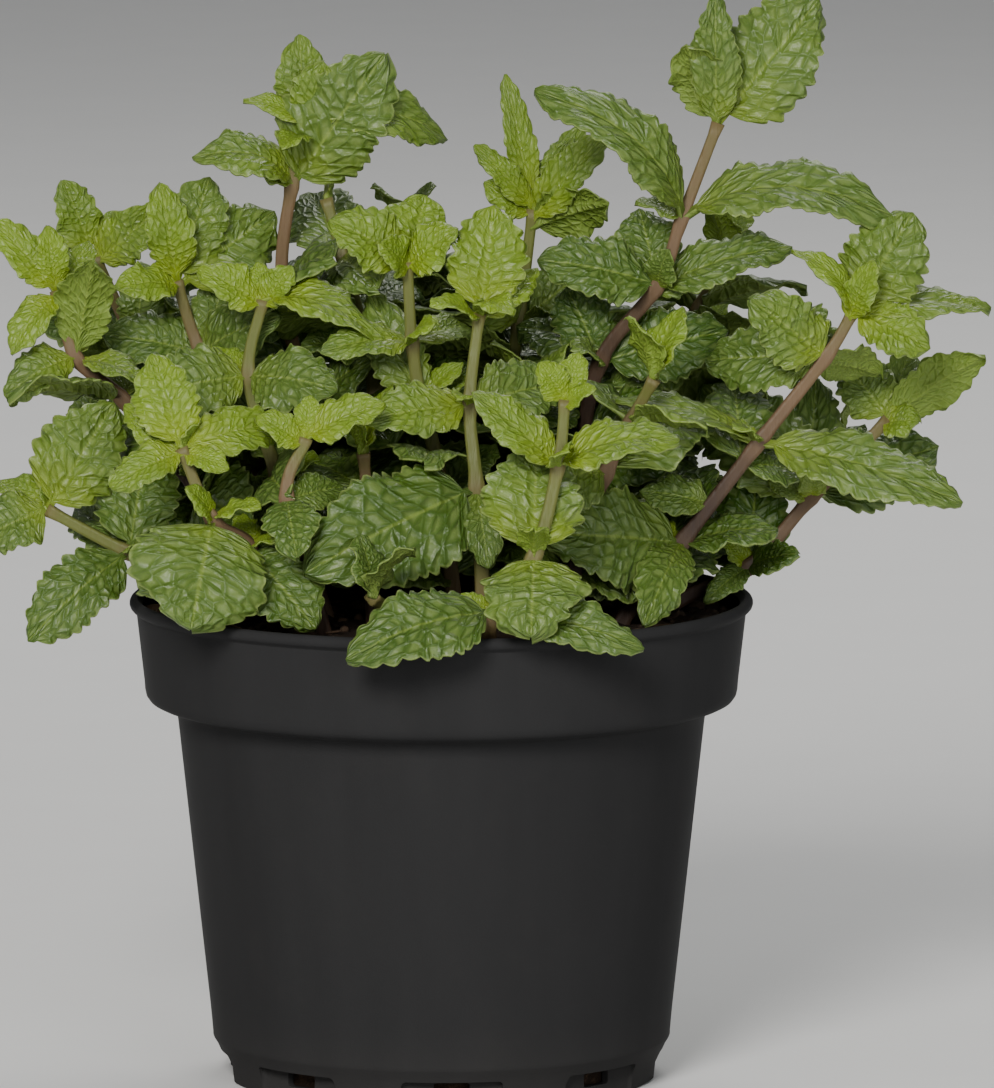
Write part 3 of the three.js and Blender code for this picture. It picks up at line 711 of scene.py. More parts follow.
def soil_earth():
    recipe = Recipe("peat compost", 0.95, 0.2)
    place = recipe.place()
    lumps = recipe.noise(place, 420, 8, 0.7)
    dark = recipe.mix(recipe.noise(place, 90, 3), PEAT, (0.03, 0.018, 0.011))
    light = recipe.mix(recipe.ramp(lumps, 0.52, 0.75), dark, (0.085, 0.05, 0.03))
    recipe.set("Base Color", light)
    recipe.bump(lumps, 0.9, 0.0012)
    return recipe.material


def crumb_earth():
    recipe = Recipe("compost crumbs", 0.9, 0.25)
    lumps = recipe.noise(recipe.place(), 900, 5, 0.7)
    plain = recipe.mix(recipe.attribute("tone"), PEAT, (0.1, 0.06, 0.035))
    light = recipe.mix(recipe.ramp(lumps, 0.45, 0.8), plain, (0.1, 0.07, 0.045))
    recipe.set("Base Color", light)
    recipe.bump(lumps, 0.8, 0.0006)
    return recipe.material


def leaf_skin(sizes):
    recipe = Recipe("mint leaf", 0.45, 0.4)
    times, line, ramp = recipe.times, recipe.line, recipe.ramp
    recipe.set("Subsurface Weight", 0.08)
    recipe.set("Subsurface Radius", (0.5, 1.0, 0.1))
    recipe.set("Subsurface Scale", 0.0008)
    uv = recipe.add("ShaderNodeUVMap", uv_map="UVMap").outputs["UV"]
    parts = recipe.add("ShaderNodeSeparateXYZ", {"Vector": uv}).outputs
    along, side = parts["X"], parts["Y"]
    across = recipe.calc("ABSOLUTE", line(side, 2.0, -1.0))
    place = recipe.place()
    tone, under, order = [recipe.attribute(name) for name in ("tone", "under", "order")]
    mottle = recipe.noise(place, 150, 5, 0.6)
    wrinkle = recipe.noise(place, 420, 3, 0.55)
    fine = recipe.noise(place, 1900, 3)

    # A net of uneven cells between the side veins, with a place of its own for each leaf
    shift = recipe.calc("FLOOR", times(tone, 37.0))
    column = line(order, CELL_COLUMNS, line(wrinkle, 0.3, shift))
    edge = recipe.cell_edges(column, line(side, CELL_ROWS, shift))
    # Round on top, with a crease where two cells meet
    fall = ramp(edge, 0.4, 0.0)
    dome = line(times(fall, fall), -1.0, 1.0)
    off_vein = recipe.calc("PINGPONG", order, 0.5)
    vein = ramp(off_vein, 0.1, 0.0)
    # Vein lines and cell creases: on the upper side they get painted shade, and on the underside a
    # pale vein colour
    lines = recipe.calc("MAXIMUM", vein, times(ramp(edge, 0.1, 0.0), 0.7))
    # Painted highlight: the tops of the pillows, away from the veins, are painted paler where
    # light would catch them
    top = times(ramp(off_vein, 0.03, 0.4), dome)
    midrib = ramp(across, 0.05, 0.01)
    margin = ramp(across, 0.94, 0.99)

    # The tone holds each leaf's age, with the painted front light mixed in
    age = line(mottle, 0.5, recipe.calc("ADD", tone, -0.25))
    age = recipe.calc("MAXIMUM", age, 0.0)
    # Painted glow: young leaves are painted yellow green towards their base, in place of light
    # coming through them
    glow = times(ramp(along, 0.6, 0.0), ramp(age, 0.25, 0.8))
    green = recipe.layered(
        sizes.leaf_old_and_groove_shade,
        (ramp(age, 0.0, 0.55), sizes.leaf_mature),
        (ramp(age, 0.45, 1.0), sizes.leaf_young),
        (times(glow, 0.7), sizes.leaf_painted_glow),
        (times(top, 0.25), sizes.leaf_edge_and_highlight),
        (times(lines, 0.22), sizes.leaf_old_and_groove_shade),
        (times(midrib, 0.4), sizes.leaf_rib),
        (times(margin, 0.5), sizes.leaf_edge_and_highlight),
    )
    ribs = recipe.calc("MAXIMUM", times(lines, 0.6), midrib)
    dull = recipe.layered(
        sizes.leaf_under,
        (times(tone, 0.6), sizes.leaf_young),
        (times(ribs, 0.5), sizes.leaf_rib),
    )
    recipe.set("Base Color", recipe.mix(under, green, dull))
    recipe.set("Roughness", line(fine, 0.16, line(under, 0.2, 0.33)))

    relief = line(wrinkle, 0.7, line(vein, -0.3, dome))
    relief = times(relief, recipe.attribute("size"))
    recipe.bump(line(fine, 0.03, relief), 0.5, 0.0008)
    return recipe.material


def stem_skin(sizes):
    recipe = Recipe("mint stem", 0.5, 0.3)
    place = recipe.place()
    streak = recipe.noise(recipe.stretched(place, (1, 1, 0.08)), 1300, 4)
    patch = recipe.noise(place, 120, 3)
    age = recipe.calc("ADD", recipe.attribute("up"), recipe.line(patch, 0.4, -0.2))
    age = recipe.calc("ADD", age, recipe.line(recipe.attribute("tone"), 1.2, -0.5))
    colour = recipe.layered(
        sizes.stem_purple,
        (recipe.ramp(age, 0.1, 0.55), sizes.stem_pink),
        (recipe.ramp(age, 0.5, 1.0), sizes.stem_olive),
        (recipe.times(streak, 0.25), sizes.stem_pink),
        (recipe.times(recipe.attribute("joint"), 0.45), sizes.stem_pink),
    )
    recipe.set("Base Color", colour)
    recipe.set("Roughness", recipe.line(streak, 0.3, 0.36))
    recipe.bump(streak, 0.5, 0.0004)
    return recipe.material


def studio_paper(sizes):
    recipe = Recipe("studio paper", 0.9, 0.2)
    shade = [0.96 * value for value in sizes.paper]
    fibre = recipe.noise(recipe.place(), 30, 3)
    recipe.set("Base Color", recipe.mix(fibre, shade, sizes.paper))
    return recipe.material


# Leaves

VEIN_PAIRS = 7.0
VEIN_SLANT = 1.3
TOOTH_PITCH = 3.2
TIP_HALF = 0.25
BLADE_HALF = 0.17
RIB_HEIGHT = 0.75
STALK_EXTRA = 0.35
CREST_SHARE = 0.42
TONE_RISE = 110
# Widths that the settings' tooth and quilt depths are meant for
TOOTH_WIDTH = 14
QUILT_WIDTH = 16


def leaf_master(name, along, across):
    """A flat two-sided sheet in unit size: x from root to tip, y from edge to edge."""
    clear_selection()
    bpy.ops.mesh.primitive_grid_add(
        x_subdivisions=along, y_subdivisions=across, size=1, location=(0.5, 0, 0)
    )
    master = newest(name)
    apply_modifier(master, "SOLIDIFY", thickness=1.0, offset=0.0)
    face_outwards(master)
    smooth(master)
    paint(master, "under", (points_of(master)[:, 2] < 0).astype(float))
    return master


def ovate(share):
    return 2.198 * np.sqrt(share) * (1 - share) ** 0.65


def blade_places(unit_points):
    """Share of the blade's length and of its half width, for each point of the unit sheet."""
    s = np.clip((unit_points[:, 0] - STALK_SHARE) / (1 - STALK_SHARE), 0, 1)
    return s, unit_points[:, 1] * 2


def vein_orders(unit_points, whim):
    """Whole numbers fall on the side veins."""
    s, v = blade_places(unit_points)
    order = s * VEIN_PAIRS - np.abs(v) ** 0.85 * VEIN_SLANT
    order += 0.45 * (v > 0) * whim[0] + 0.14 * np.sin(9 * s + 6 * whim[1] + 2 * np.abs(v))
    return order


def half_widths(leaf, s, v, whim, sizes):
    """Half the blade's width at each point, with rounded teeth that lean to the tip."""
    length = np.linalg.norm(leaf["tip"] - leaf["base"])
    width = leaf["width"]
    half = np.maximum(width / 2 * ovate(s), TIP_HALF)
    grown = np.clip(s / 0.02, 0, 1)
    half = STALK_HALF * (1 - grown) + np.maximum(half, STALK_HALF * (1 - s)) * grown
    teeth = max(5, round(length / TOOTH_PITCH))
    count = s * teeth + whim[3] + 0.3 * (v > 0) + 0.3 * np.sin(7 * s + 6 * whim[2])
    step = count % 1
    tooth = np.sin(np.pi * step**1.3) ** 0.8 - 0.5
    uneven = 0.9 + 0.45 * np.sin(2.4 * np.floor(count) + 9 * whim[4])
    depth = sizes.tooth_depth / MM * np.clip(width / TOOTH_WIDTH, 0.4, 1.3)
    fade = np.clip((s - 0.04) / 0.12, 0, 1) * np.clip((1 - s) / 0.06, 0, 1)
    sway = 0.07 * np.sin(5 * s + 6 * whim[1] + 2.5 * (v > 0))
    sway += 0.04 * np.sin(13 * s + 6 * whim[4] + 1.7 * (v > 0))
    return half * (1 + sway * fade) + depth * uneven * tooth * fade * np.abs(v) ** 5


def quilting(leaf, unit_points, across, whim, sizes):
    """Height of the pillows between the veins, with a groove along the midrib."""
    s, v = blade_places(unit_points)
    order = vein_orders(unit_points, whim)
    depth = np.clip(sizes.quilt_depth / MM * leaf["width"] / QUILT_WIDTH, 0.16, 0.85)
    strip = np.sin(np.pi * order) ** 2
    reach = np.abs(v) * (3 + whim[1]) + 0.5 * np.floor(order) + whim[0] * (v > 0)
    puffs = strip * np.sin(np.pi * reach) ** 2
    ends = np.clip(s * 8, 0, 1) * np.clip((1 - s) * 8, 0, 1)
    pillows = depth * (0.25 * strip + 0.45 * puffs) * (1 - np.abs(v) ** 8)
    return (pillows - 0.8 * depth * np.exp(-((across / 0.7) ** 2))) * ends


def leaf_form(leaf, unit_points, whim, sizes):
    """Bends the unit sheet into one leaf and gives its points in metres."""
    s, v = blade_places(unit_points)
    side = np.where(unit_points[:, 2] > 0, 1.0, -1.0)
    chord = leaf["tip"] - leaf["base"]
    length = np.linalg.norm(chord)
    along = chord / length
    face = unit(leaf["facing"] - along * (leaf["facing"] @ along))
    across_way = np.cross(along, face)
    crest = leaf["base"] + chord * CREST_SHARE + face * leaf["arch"] * length
    width = leaf["width"]
    across = v * half_widths(leaf, s, v, whim, sizes)

    ruffle = width * (sizes.ruffle + 0.03 * leaf["youth"])
    wave = np.sin(s * (8 + 5 * whim[0]) + 6.3 * whim[1] + 2.1 * (v > 0))
    wave += 0.5 * np.sin(s * (17 + 6 * whim[2]) + 6.3 * whim[3] + 1.3 * (v > 0))
    wave *= ruffle * np.abs(v) ** 2.5 * np.clip(s * 4, 0, 1)
    droop = -width * 0.08 * np.abs(v) ** 3 * np.clip(s * 5, 0, 1)
    twist = across * s * 0.4 * (whim[4] - 0.5)
    curl = -length * (0.02 + 0.07 * whim[2]) * s**3

    rib = np.exp(-((across / 0.55) ** 2)) * (1 - 0.7 * s)
    stalk = 1 - np.clip(s / 0.06, 0, 1)
    above = BLADE_HALF + STALK_EXTRA * stalk
    below = -BLADE_HALF - RIB_HEIGHT * rib - STALK_EXTRA * stalk
    shell = np.where(side > 0, above, below)
    fold = leaf["fold"] * (np.sqrt(across**2 + 0.36) - 0.6)
    rise = fold + wave + droop + twist + curl + shell
    rise += quilting(leaf, unit_points, across, whim, sizes)

    t = unit_points[:, :1]
    middle = leaf["base"] * (1 - t) ** 2 + crest * 2 * t * (1 - t) + leaf["tip"] * t**2
    ahead = (crest - leaf["base"]) * (1 - t) + (leaf["tip"] - crest) * t
    ahead /= np.linalg.norm(ahead, axis=1)[:, None]
    up = np.cross(across_way, ahead)
    return (middle + across[:, None] * across_way + rise[:, None] * up) * MM


def leaf_tone(leaf, draw):
    height = (leaf["tip"][2] - SOIL_EDGE_LEVEL) / TONE_RISE
    # Painted light and shade: the tone rises for leaves nearer the front and falls for those at
    # the back, as if lit from the front
    inside = np.clip(-leaf["tip"][1] / 200, -0.15, 0.2)
    young = 0.42 * leaf["youth"] + 0.16 * height + inside
    small = 0.2 * np.clip((14 - leaf["width"]) / 8, 0, 1)
    return float(np.clip(0.1 + young + small + 0.2 * (draw() - 0.5), 0, 1))


# Small leaves in the axils and at the shoot tips, and shaded leaves inside the bush

SHEET_STEPS = 7
SHEET = np.array([(u, v, 1.0) for u in np.linspace(0.26, 1, SHEET_STEPS) for v in (-0.5, 0, 0.5)])
SHEET_FACES = [
    (3 * i + j, 3 * i + j + 1, 3 * i + j + 4, 3 * i + j + 3)
    for i in range(SHEET_STEPS - 1)
    for j in range(2)
]
SHEET_CLEAR = 0.0003
CALM = [0.5] * 5
PATH_STEPS = 200
SHADE_LOWEST = 105
SHADE_HIGHEST = 164
SHADE_STEP = 8
SHADE_YOUTH = 0.15
# Width of a leaf as a share of its length
SHADE_WIDTH = 0.62
AXIL_WIDTH = 0.56
CROWN_WIDTH = 0.6

# The mass of leaves that shaded leaves keep within
BUSH_TOP = 174
BUSH_FALL = 0.0026
BUSH_FOOT = 103
BUSH_LEFT = -62
BUSH_RIGHT = 66
BUSH_BACK = 72
BUSH_FRONT = -94
BUSH_FRONT_LEAN = 0.6


def node_tree(node):
    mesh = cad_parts[node].data
    corners = [corner.co for corner in mesh.vertices]
    return BVHTree.FromPolygons(corners, [face.vertices[:] for face in mesh.polygons])


def within_bush(points):
    """Whether a leaf stays inside the mass of leaves, behind the front ones, off soil and rim."""
    x, y, z = points.T / MM
    climb = z - BUSH_FOOT
    spread = (x > BUSH_LEFT - 0.35 * climb) & (x < BUSH_RIGHT + 0.4 * climb) & (y < BUSH_BACK)
    dome = BUSH_TOP - BUSH_FALL * (x**2 + y**2)
    behind = y > BUSH_FRONT_LEAN * z + BUSH_FRONT
    return bool(np.all(spread & (climb > 0) & (z < dome) & behind))


def above_rim(points):
    return bool(np.all(points[:, 2] > (POT_HEIGHT + 1) * MM))


def first_clear(choices, allowed, trees, sizes):
    """The first of the leaves that touches nothing beyond its stalk."""
    for leaf in choices:
        points = leaf_form(leaf, SHEET, CALM, sizes)
        if not allowed(points):
            continue
        sheet = BVHTree.FromPolygons(points.tolist(), SHEET_FACES, epsilon=SHEET_CLEAR)
        if not any(sheet.overlap(tree) for tree in trees):
            trees.append(sheet)
            return [leaf]
    return []


def shade_choices(base, heading, draw):
    turn = draw(25, 40)
    outward = -90 if base[1] < 15 else math.degrees(math.atan2(base[1], base[0]))
    size = draw(20, 6)
    for shrink in (1, 0.75, 0.55):
        for rise in (12, 38, -8):
            for swing in (0, 30, -30, 60, -60):
                tip = bearing(base, size * shrink, heading + swing, rise)
                width = SHADE_WIDTH * size * shrink
                yield make_leaf(base, tip, width, facing_of(outward, turn), 0.12, SHADE_YOUTH)


def shade_leaves(stem, draw, trees, sizes):
    path = stem_path(stem)
    leaves = []
    heading = 360 * draw()
    level = draw(SHADE_LOWEST, 5)
    for step in range(1, PATH_STEPS):
        base = path_point(path, step / PATH_STEPS)[0]
        if level < base[2] < SHADE_HIGHEST:
            level = base[2] + SHADE_STEP
            heading += 90
            for half in (0, 180):
                choices = shade_choices(base, heading + half, draw)
                leaves += first_clear(choices, within_bush, trees, sizes)
    return leaves


def axil_choices(base, heading, draw):
    size = draw(8, 5)
    rise = draw(20, 35)
    facing = facing_of(-90, draw(20, 40))
    for shrink in (1, 0.75):
        for swing in (0, 25, -25, 50, -50):
            tip = bearing(base, size * shrink, heading + swing, rise)
            yield make_leaf(base, tip, AXIL_WIDTH * size * shrink, facing, 0.14, 0.9)


def crown_choices(base, heading, draw):
    size = draw(6, 3)
    for shrink in (1, 0.8, 0.6):
        for swing in (0, 20, -20):
            tip = bearing(base, size * shrink, heading + swing, draw(58, 20))
            facing = facing_of(heading + swing + 180, 55)
            yield make_leaf(base, tip, CROWN_WIDTH * size * shrink, facing, 0.1, 1.0)


def young_leaves(stem, draw, trees, sizes):
    """Small leaves at the nodes of a front stem, and a tuft at its top."""
    leaves = []
    heading = 360 * draw()
    for node in stem["nodes"][:-1]:
        heading += 90
        for half in (0, 180, 95):
            choices = axil_choices(node, heading + half, draw)
            leaves += first_clear(choices, above_rim, trees, sizes)
    for quarter in range(4):
        choices = crown_choices(stem["nodes"][-1], heading + 45 + 90 * quarter, draw)
        leaves += first_clear(choices, above_rim, trees, sizes)
    return leaves


# Stems


def stem_master():
    """A square rod in unit size with rounded corners, standing on the origin."""
    profile = [(1, 0)] + [(1, (i + 1) / STEM_RINGS) for i in range(STEM_RINGS)]
    master = turned("stem_master", [(r / MM, z / MM) for r, z in profile], STEM_SIDES)
    points = points_of(master)
    angle = np.arctan2(points[:, 1], points[:, 0])
    corner = np.abs(np.cos(angle)) ** 5 + np.abs(np.sin(angle)) ** 5
    dent = 1 - 0.07 * np.cos(4 * angle)
    points[:, :2] *= (corner ** (-1 / 5) * dent)[:, None]
    place_points(master, points)
    smooth(master)
    return master


def stem_path(stem):
    ground, nearest = stem["way"][:2]
    down = unit(ground - nearest)
    down[2] -= 1.5
    bottom = ground + unit(down) * STEM_BURIED
    return [bottom, *stem["way"]]


def path_point(path, share):
    """A point of the smooth curve through the path's points, and the way ahead there."""
    spans = len(path) - 1
    place = min(max(share, 0.0), 1.0) * spans
    i = min(int(place), spans - 1)
    t = place - i
    p1, p2 = path[i], path[i + 1]
    p0 = path[i - 1] if i > 0 else 2 * p1 - p2
    p3 = path[i + 2] if i + 2 <= spans else 2 * p2 - p1
    v1, v2 = (p2 - p0) / 2, (p3 - p1) / 2
    a = 2 * p1 - 2 * p2 + v1 + v2
    b = -3 * p1 + 3 * p2 - 2 * v1 - v2
    point = a * t**3 + b * t**2 + v1 * t + p1
    return point, unit(3 * a * t**2 + 2 * b * t + v1)


def stem_form(piece, stem, unit_points, sizes):
    path = stem_path(stem)
    spans = len(path) - 1
    points = np.empty_like(unit_points)
    joint = np.zeros(len(unit_points))
    shares = np.round(unit_points[:, 2] * STEM_RINGS).astype(int)
    depth = np.array([0.0, 1.0, 0.0])
    for ring in range(STEM_RINGS + 1):
        share = ring / STEM_RINGS
        middle, ahead = path_point(path, share)
        side = unit(np.cross(ahead, depth))
        other = np.cross(ahead, side)
        reach = [np.linalg.norm(middle - node) for node in stem["nodes"]]
        knot = math.exp(-((min(reach) / KNOT_REACH) ** 2))
        half = (STEM_FOOT + (STEM_TOP - STEM_FOOT) * share) * (1 + sizes.knot_swell * knot)
        mine = shares == ring
        flat = unit_points[mine]
        points[mine] = middle + half * (flat[:, :1] * side + flat[:, 1:2] * other)
        joint[mine] = knot
    place_points(piece, points * MM)
    paint(piece, "joint", joint)
    paint(piece, "up", np.clip((shares / STEM_RINGS * spans - 1) / (spans - 1), 0, 1))


# Pot and soil


def offsets(radius, height, steps):
    return [(radius + out, height + up) for out, up in steps]


def pot_profile():
    """Radius and height up the outside, over the lip's roll and down the inside."""
    turns = [math.radians(-80 + 190 * i / 8) for i in range(9)]
    roll = [(LIP_DEPTH * math.cos(turn), LIP_RISE * math.sin(turn)) for turn in turns]
    body = ((-0.7, -1.4), (-0.1, -0.5), (0.1, 0), (0.1, 0.6), (0.6, 6))
    ledge = ((-0.35, -3.4), (-0.1, -1.4), (0.3, -0.3), (1.0, 0.2))
    band = ((-1.9, 1.2), (-0.9, 1.7), (-0.25, 2.6), (0, 3.8), (0.12, 5.5))
    return [
        *offsets(FOOT_RADIUS, 0, ((-0.5, 0), (0, 0.4), (0.4, 3.8))),
        *offsets(BODY_FOOT_RADIUS, FOOT_EDGE_HEIGHT, body),
        *offsets(BODY_TOP_RADIUS, LEDGE_HEIGHT, ledge),
        *offsets(BAND_FOOT_RADIUS, LEDGE_HEIGHT, band),
        (BAND_TOP_RADIUS - 0.05, POT_HEIGHT - 3.1),
        *offsets(LIP_RADIUS - LIP_DEPTH, POT_HEIGHT - LIP_RISE, roll),
        *offsets(BAND_TOP_RADIUS - WALL, POT_HEIGHT, ((0.1, -1.4), (-0.05, -3))),
        *offsets(BAND_FOOT_RADIUS - WALL, LEDGE_HEIGHT, ((0, 4.6), (-0.5, 3.8))),
        *offsets(BODY_TOP_RADIUS - WALL, LEDGE_HEIGHT, ((0.4, 1.9), (0, 1.4))),
        (BODY_FOOT_RADIUS - WALL, FOOT_EDGE_HEIGHT + 1.2),
        (NOTCH_DEPTH_RADIUS - WALL, FOOT_EDGE_HEIGHT - 0.8),
        (NOTCH_DEPTH_RADIUS - WALL, FLOOR),
    ]


def rounded_block(centre, size, edge_radius):
    clear_selection()
    bpy.ops.mesh.primitive_cube_add(size=1, location=metres(centre), scale=metres(size))
    block = newest("cutter")
    apply_modifier(block, "BEVEL", width=edge_radius * MM, segments=3)
    return block


def foot_cutters():
    """A notch of the foot and the drain window behind it, both on the X axis."""
    notch = rounded_block(
        (NOTCH_DEPTH_RADIUS + CUT_REACH / 2, 0, NOTCH_HEIGHT / 2 - 1),
        (CUT_REACH, NOTCH_WIDTH, NOTCH_HEIGHT + 2),
        NOTCH_EDGE,
    )
    drain = rounded_block(
        (NOTCH_DEPTH_RADIUS, 0, (DRAIN_TOP + DRAIN_FOOT) / 2),
        (CUT_REACH, DRAIN_WIDTH, DRAIN_TOP - DRAIN_FOOT),
        DRAIN_EDGE,
    )
    return notch, drain


def cut_foot(pot):
    for tool in foot_cutters():
        for i in range(NOTCHES):
            cutter = copy_of(tool, "cutter")
            cutter.rotation_euler = (0, 0, math.radians(NOTCH_FIRST_ANGLE + 360 / NOTCHES * i))
            settle_transform(cutter)
            apply_modifier(pot, "BOOLEAN", operation="DIFFERENCE", object=cutter, solver="EXACT")
            drop(cutter)
        drop(tool)


def build_pot(sizes):
    pot = turned("nursery_pot", pot_profile(), POT_SEGMENTS)
    cut_foot(pot)
    smooth(pot, POT_CREASE)
    declare(pot, pot_plastic(sizes), "pot_plastic", "pot")


def soil_profile():
    gap = WALL + SOIL_GAP
    top_radius = BAND_TOP_RADIUS - gap - 0.35
    rings = [top_radius * (1 - i / SOIL_RINGS) for i in range(1, SOIL_RINGS)]
    return [
        (NOTCH_DEPTH_RADIUS - gap, FLOOR + SOIL_GAP),
        (NOTCH_DEPTH_RADIUS - gap, FOOT_EDGE_HEIGHT - 0.5),
        (BODY_FOOT_RADIUS - gap, FOOT_EDGE_HEIGHT + 1.5),
        (BODY_TOP_RADIUS - gap, LEDGE_HEIGHT + 2.2),
        (BAND_FOOT_RADIUS - gap, LEDGE_HEIGHT + 4.8),
        (top_radius, SOIL_EDGE_LEVEL),
        *[(r, soil_level(r, 0)) for r in rings],
    ]


def roughen_soil(soil):
    points = points_of(soil)
    for i, (x, y, z) in enumerate(points):
        if z > (SOIL_EDGE_LEVEL + 0.01) * MM:
            spot = Vector((x, y, 0)) / MM
            lump = noise.fractal(spot * 0.16, 0.9, 2.1, 4) + 0.7 * noise.noise(spot * 0.9)
            points[i, 2] = z + LUMP_HEIGHT * MM * lump
    place_points(soil, points)


def scattered(draw, reach):
    """A place on the soil, drawn evenly over a disc."""
    radius, angle = reach * math.sqrt(draw()), 2 * math.pi * draw()
    return radius * math.cos(angle), radius * math.sin(angle)


def soil_grain(master, points, spot, lift, tone):
    grain = copy_of(master, "grain")
    place_points(grain, (points + np.array([*spot, soil_level(*spot) + lift])) * MM)
    paint(grain, "tone", tone)
    return grain


def scatter_crumbs():
    draw = seeded_draw(CRUMB_SEED)
    clear_selection()
    bpy.ops.mesh.primitive_ico_sphere_add(subdivisions=2, radius=1)
    master = newest("crumb_master")
    ball = points_of(master)
    grains = []
    for _ in range(CRUMB_COUNT):
        spot = scattered(draw, CRUMB_REACH)
        size = 0.45 + 1.5 * draw() ** 3
        seed = Vector((*spot, draw(0, 3)))
        lumpy = [1 + 0.45 * noise.noise(Vector(point) * 1.3 + seed) for point in ball]
        squash = np.array([draw(0.8, 0.7), draw(0.8, 0.5), draw(0.6, 0.3)])
        points = ball * np.array(lumpy)[:, None] * squash * size
        grains.append(soil_grain(master, points, spot, 0.3, draw() ** 2))
    for _ in range(FIBRE_COUNT):
        spot = scattered(draw, FIBRE_REACH)
        turn = math.pi * draw()
        c, s = math.cos(turn), math.sin(turn)
        points = ball * np.array([draw(1.6, 2.6), 0.3, 0.25])
        points = points @ np.array([[c, s, 0], [-s, c, 0], [0, 0, 1]])
        grains.append(soil_grain(master, points, spot, 0.9, draw(0.7, 0.3)))
    drop(master)
    joined = join_pieces(grains, "soil_crumbs")
    smooth(joined)
    declare(joined, crumb_earth(), "potting_soil")


def build_soil():
    soil = turned("soil_bed", soil_profile(), SOIL_SEGMENTS)
    roughen_soil(soil)
    smooth(soil, SOIL_CREASE)
    declare(soil, soil_earth(), "potting_soil", "potting_soil")
    scatter_crumbs()


# Plant

LEAF_GRIDS = {"large": (50, 18), "medium": (36, 12), "plain": (24, 10), "small": (16, 6)}
LARGE_WIDTH = 11
SMALL_WIDTH = 6
# Added to the vein orders, which keeps them above zero
ORDER_START = 4


def build_stems(sizes):
    master = stem_master()
    unit_points = points_of(master)
    skin = stem_skin(sizes)
    draw = seeded_draw(STEM_SEED)
    for stem in grown_stems():
        piece = copy_of(master, "stem_" + stem["name"])
        stem_form(piece, stem, unit_points, sizes)
        tone = GREEN_TONE if stem["name"] in GREEN_STEMS else WOODY_TONE
        paint(piece, "tone", draw(tone, 0.25))
        declare(piece, skin, "mint", stem["node"])
    drop(master)


def grid_for(leaf, front):
    if leaf["youth"] == SHADE_YOUTH:
        return "plain"
    if leaf["width"] < SMALL_WIDTH:
        return "small"
    if not front:
        return "plain"
    return "large" if leaf["width"] > LARGE_WIDTH else "medium"


def build_leaves(sizes):
    masters = {name: leaf_master("leaf_" + name, *grid) for name, grid in LEAF_GRIDS.items()}
    forms = {name: points_of(master) for name, master in masters.items()}
    skin = leaf_skin(sizes)
    draw = seeded_draw(LEAF_SEED)
    stems = grown_stems()
    trees = [node_tree(node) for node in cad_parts]
    for stem in stems:
        if stem["front"]:
            stem["leaves"] += young_leaves(stem, draw, trees, sizes)
    for stem in stems:
        stem["leaves"] += shade_leaves(stem, draw, trees, sizes)
    for stem in stems:
        calm = CALM_STEMS.get(stem["name"], 1.0)
        blades = []
        for leaf in stem["leaves"]:
            grid = grid_for(leaf, stem["front"])
            whim = [draw() for _ in range(5)]
            blade = copy_of(masters[grid], "blade")
            place_points(blade, leaf_form(leaf, forms[grid], whim, sizes))
            paint(blade, "order", vein_orders(forms[grid], whim) + ORDER_START)
            paint(blade, "tone", calm * leaf_tone(leaf, draw))
            paint(blade, "size", np.clip(leaf["width"] / QUILT_WIDTH, 0.3, 1.1))
            blades.append(blade)
        piece = join_pieces(blades, "leaves_" + stem["name"])
        declare(piece, skin, "mint", stem["node"])
    for master in masters.values():
        drop(master)


# Stage

FLOOR_SIZE = 10
BACKDROP_HEIGHT = 4
BACKDROP_BEND = 1.2
LIGHT_AIM = (0, 0, 0.12)


def build_floor(sizes):
    clear_selection()
    bpy.ops.mesh.primitive_plane_add(size=FLOOR_SIZE)
    floor = newest("studio_floor")
    edit(floor, "DESELECT")
    bpy.ops.object.mode_set(mode="OBJECT")
    for edge in floor.data.edges:
        ends = [floor.data.vertices[i].co.y for i in edge.vertices]
        edge.select = min(ends) > 0
    bpy.ops.object.mode_set(mode="EDIT")
    bpy.ops.mesh.select_mode(type="EDGE")
    bpy.ops.mesh.extrude_region_move(TRANSFORM_OT_translate={"value": (0, 0, BACKDROP_HEIGHT)})
    bpy.ops.object.mode_set(mode="OBJECT")
    apply_modifier(floor, "BEVEL", width=BACKDROP_BEND, segments=10, limit_method="ANGLE")
    smooth(floor)
    dress(floor, studio_paper(sizes))


def aim(place, target):
    way = Vector(target) - Vector(place)
    return way.to_track_quat("-Z", "Y").to_euler()


def add_light(name, place, size, power, colour):
    clear_selection()
    bpy.ops.object.light_add(type="AREA", location=place, rotation=aim(place, LIGHT_AIM))
    lamp = bpy.context.active_object
    lamp.name = name
    lamp.data.shape = "DISK"
    lamp.data.size = size
    lamp.data.energy = power
    lamp.data.color = colour


def build_lights(sizes):
    world = bpy.data.worlds.new("studio air")
    world.use_nodes = True
    air = world.node_tree.nodes["Background"]
    air.inputs["Color"].default_value = (0.95, 0.97, 1.0, 1)
    air.inputs["Strength"].default_value = sizes.air_strength
    bpy.context.scene.world = world
    add_light("key_light", (-0.6, -2.2, 1.35), 0.9, sizes.key_power, (1.0, 0.98, 0.95))
    add_light("fill_light", (0.9, -2.2, 0.7), 1.2, sizes.fill_power, (0.96, 0.98, 1.0))
    add_light("back_light", (0.3, 1.1, 1.4), 0.8, sizes.back_power, (1.0, 0.99, 0.96))


def build_camera():
    clear_selection()
    place = metres(CAMERA_PLACE)
    bpy.ops.object.camera_add(location=place, rotation=aim(place, metres(CAMERA_AIM)))
    camera = bpy.context.active_object
    camera.name = "front_camera"
    camera.data.sensor_fit = "VERTICAL"
    camera.data.sensor_height = CAMERA_SENSOR
    camera.data.lens = CAMERA_LENS
    bpy.context.scene.camera = camera


# Add-on


def colour_setting(name, description, default):
    return bpy.props.FloatVectorProperty(
        name=name, description=description, default=default, size=3, subtype="COLOR", min=0, max=1
    )


def number_setting(name, description, default, **kind):
    return bpy.props.FloatProperty(
        name=name, description=description, default=default, min=0, **kind
    )


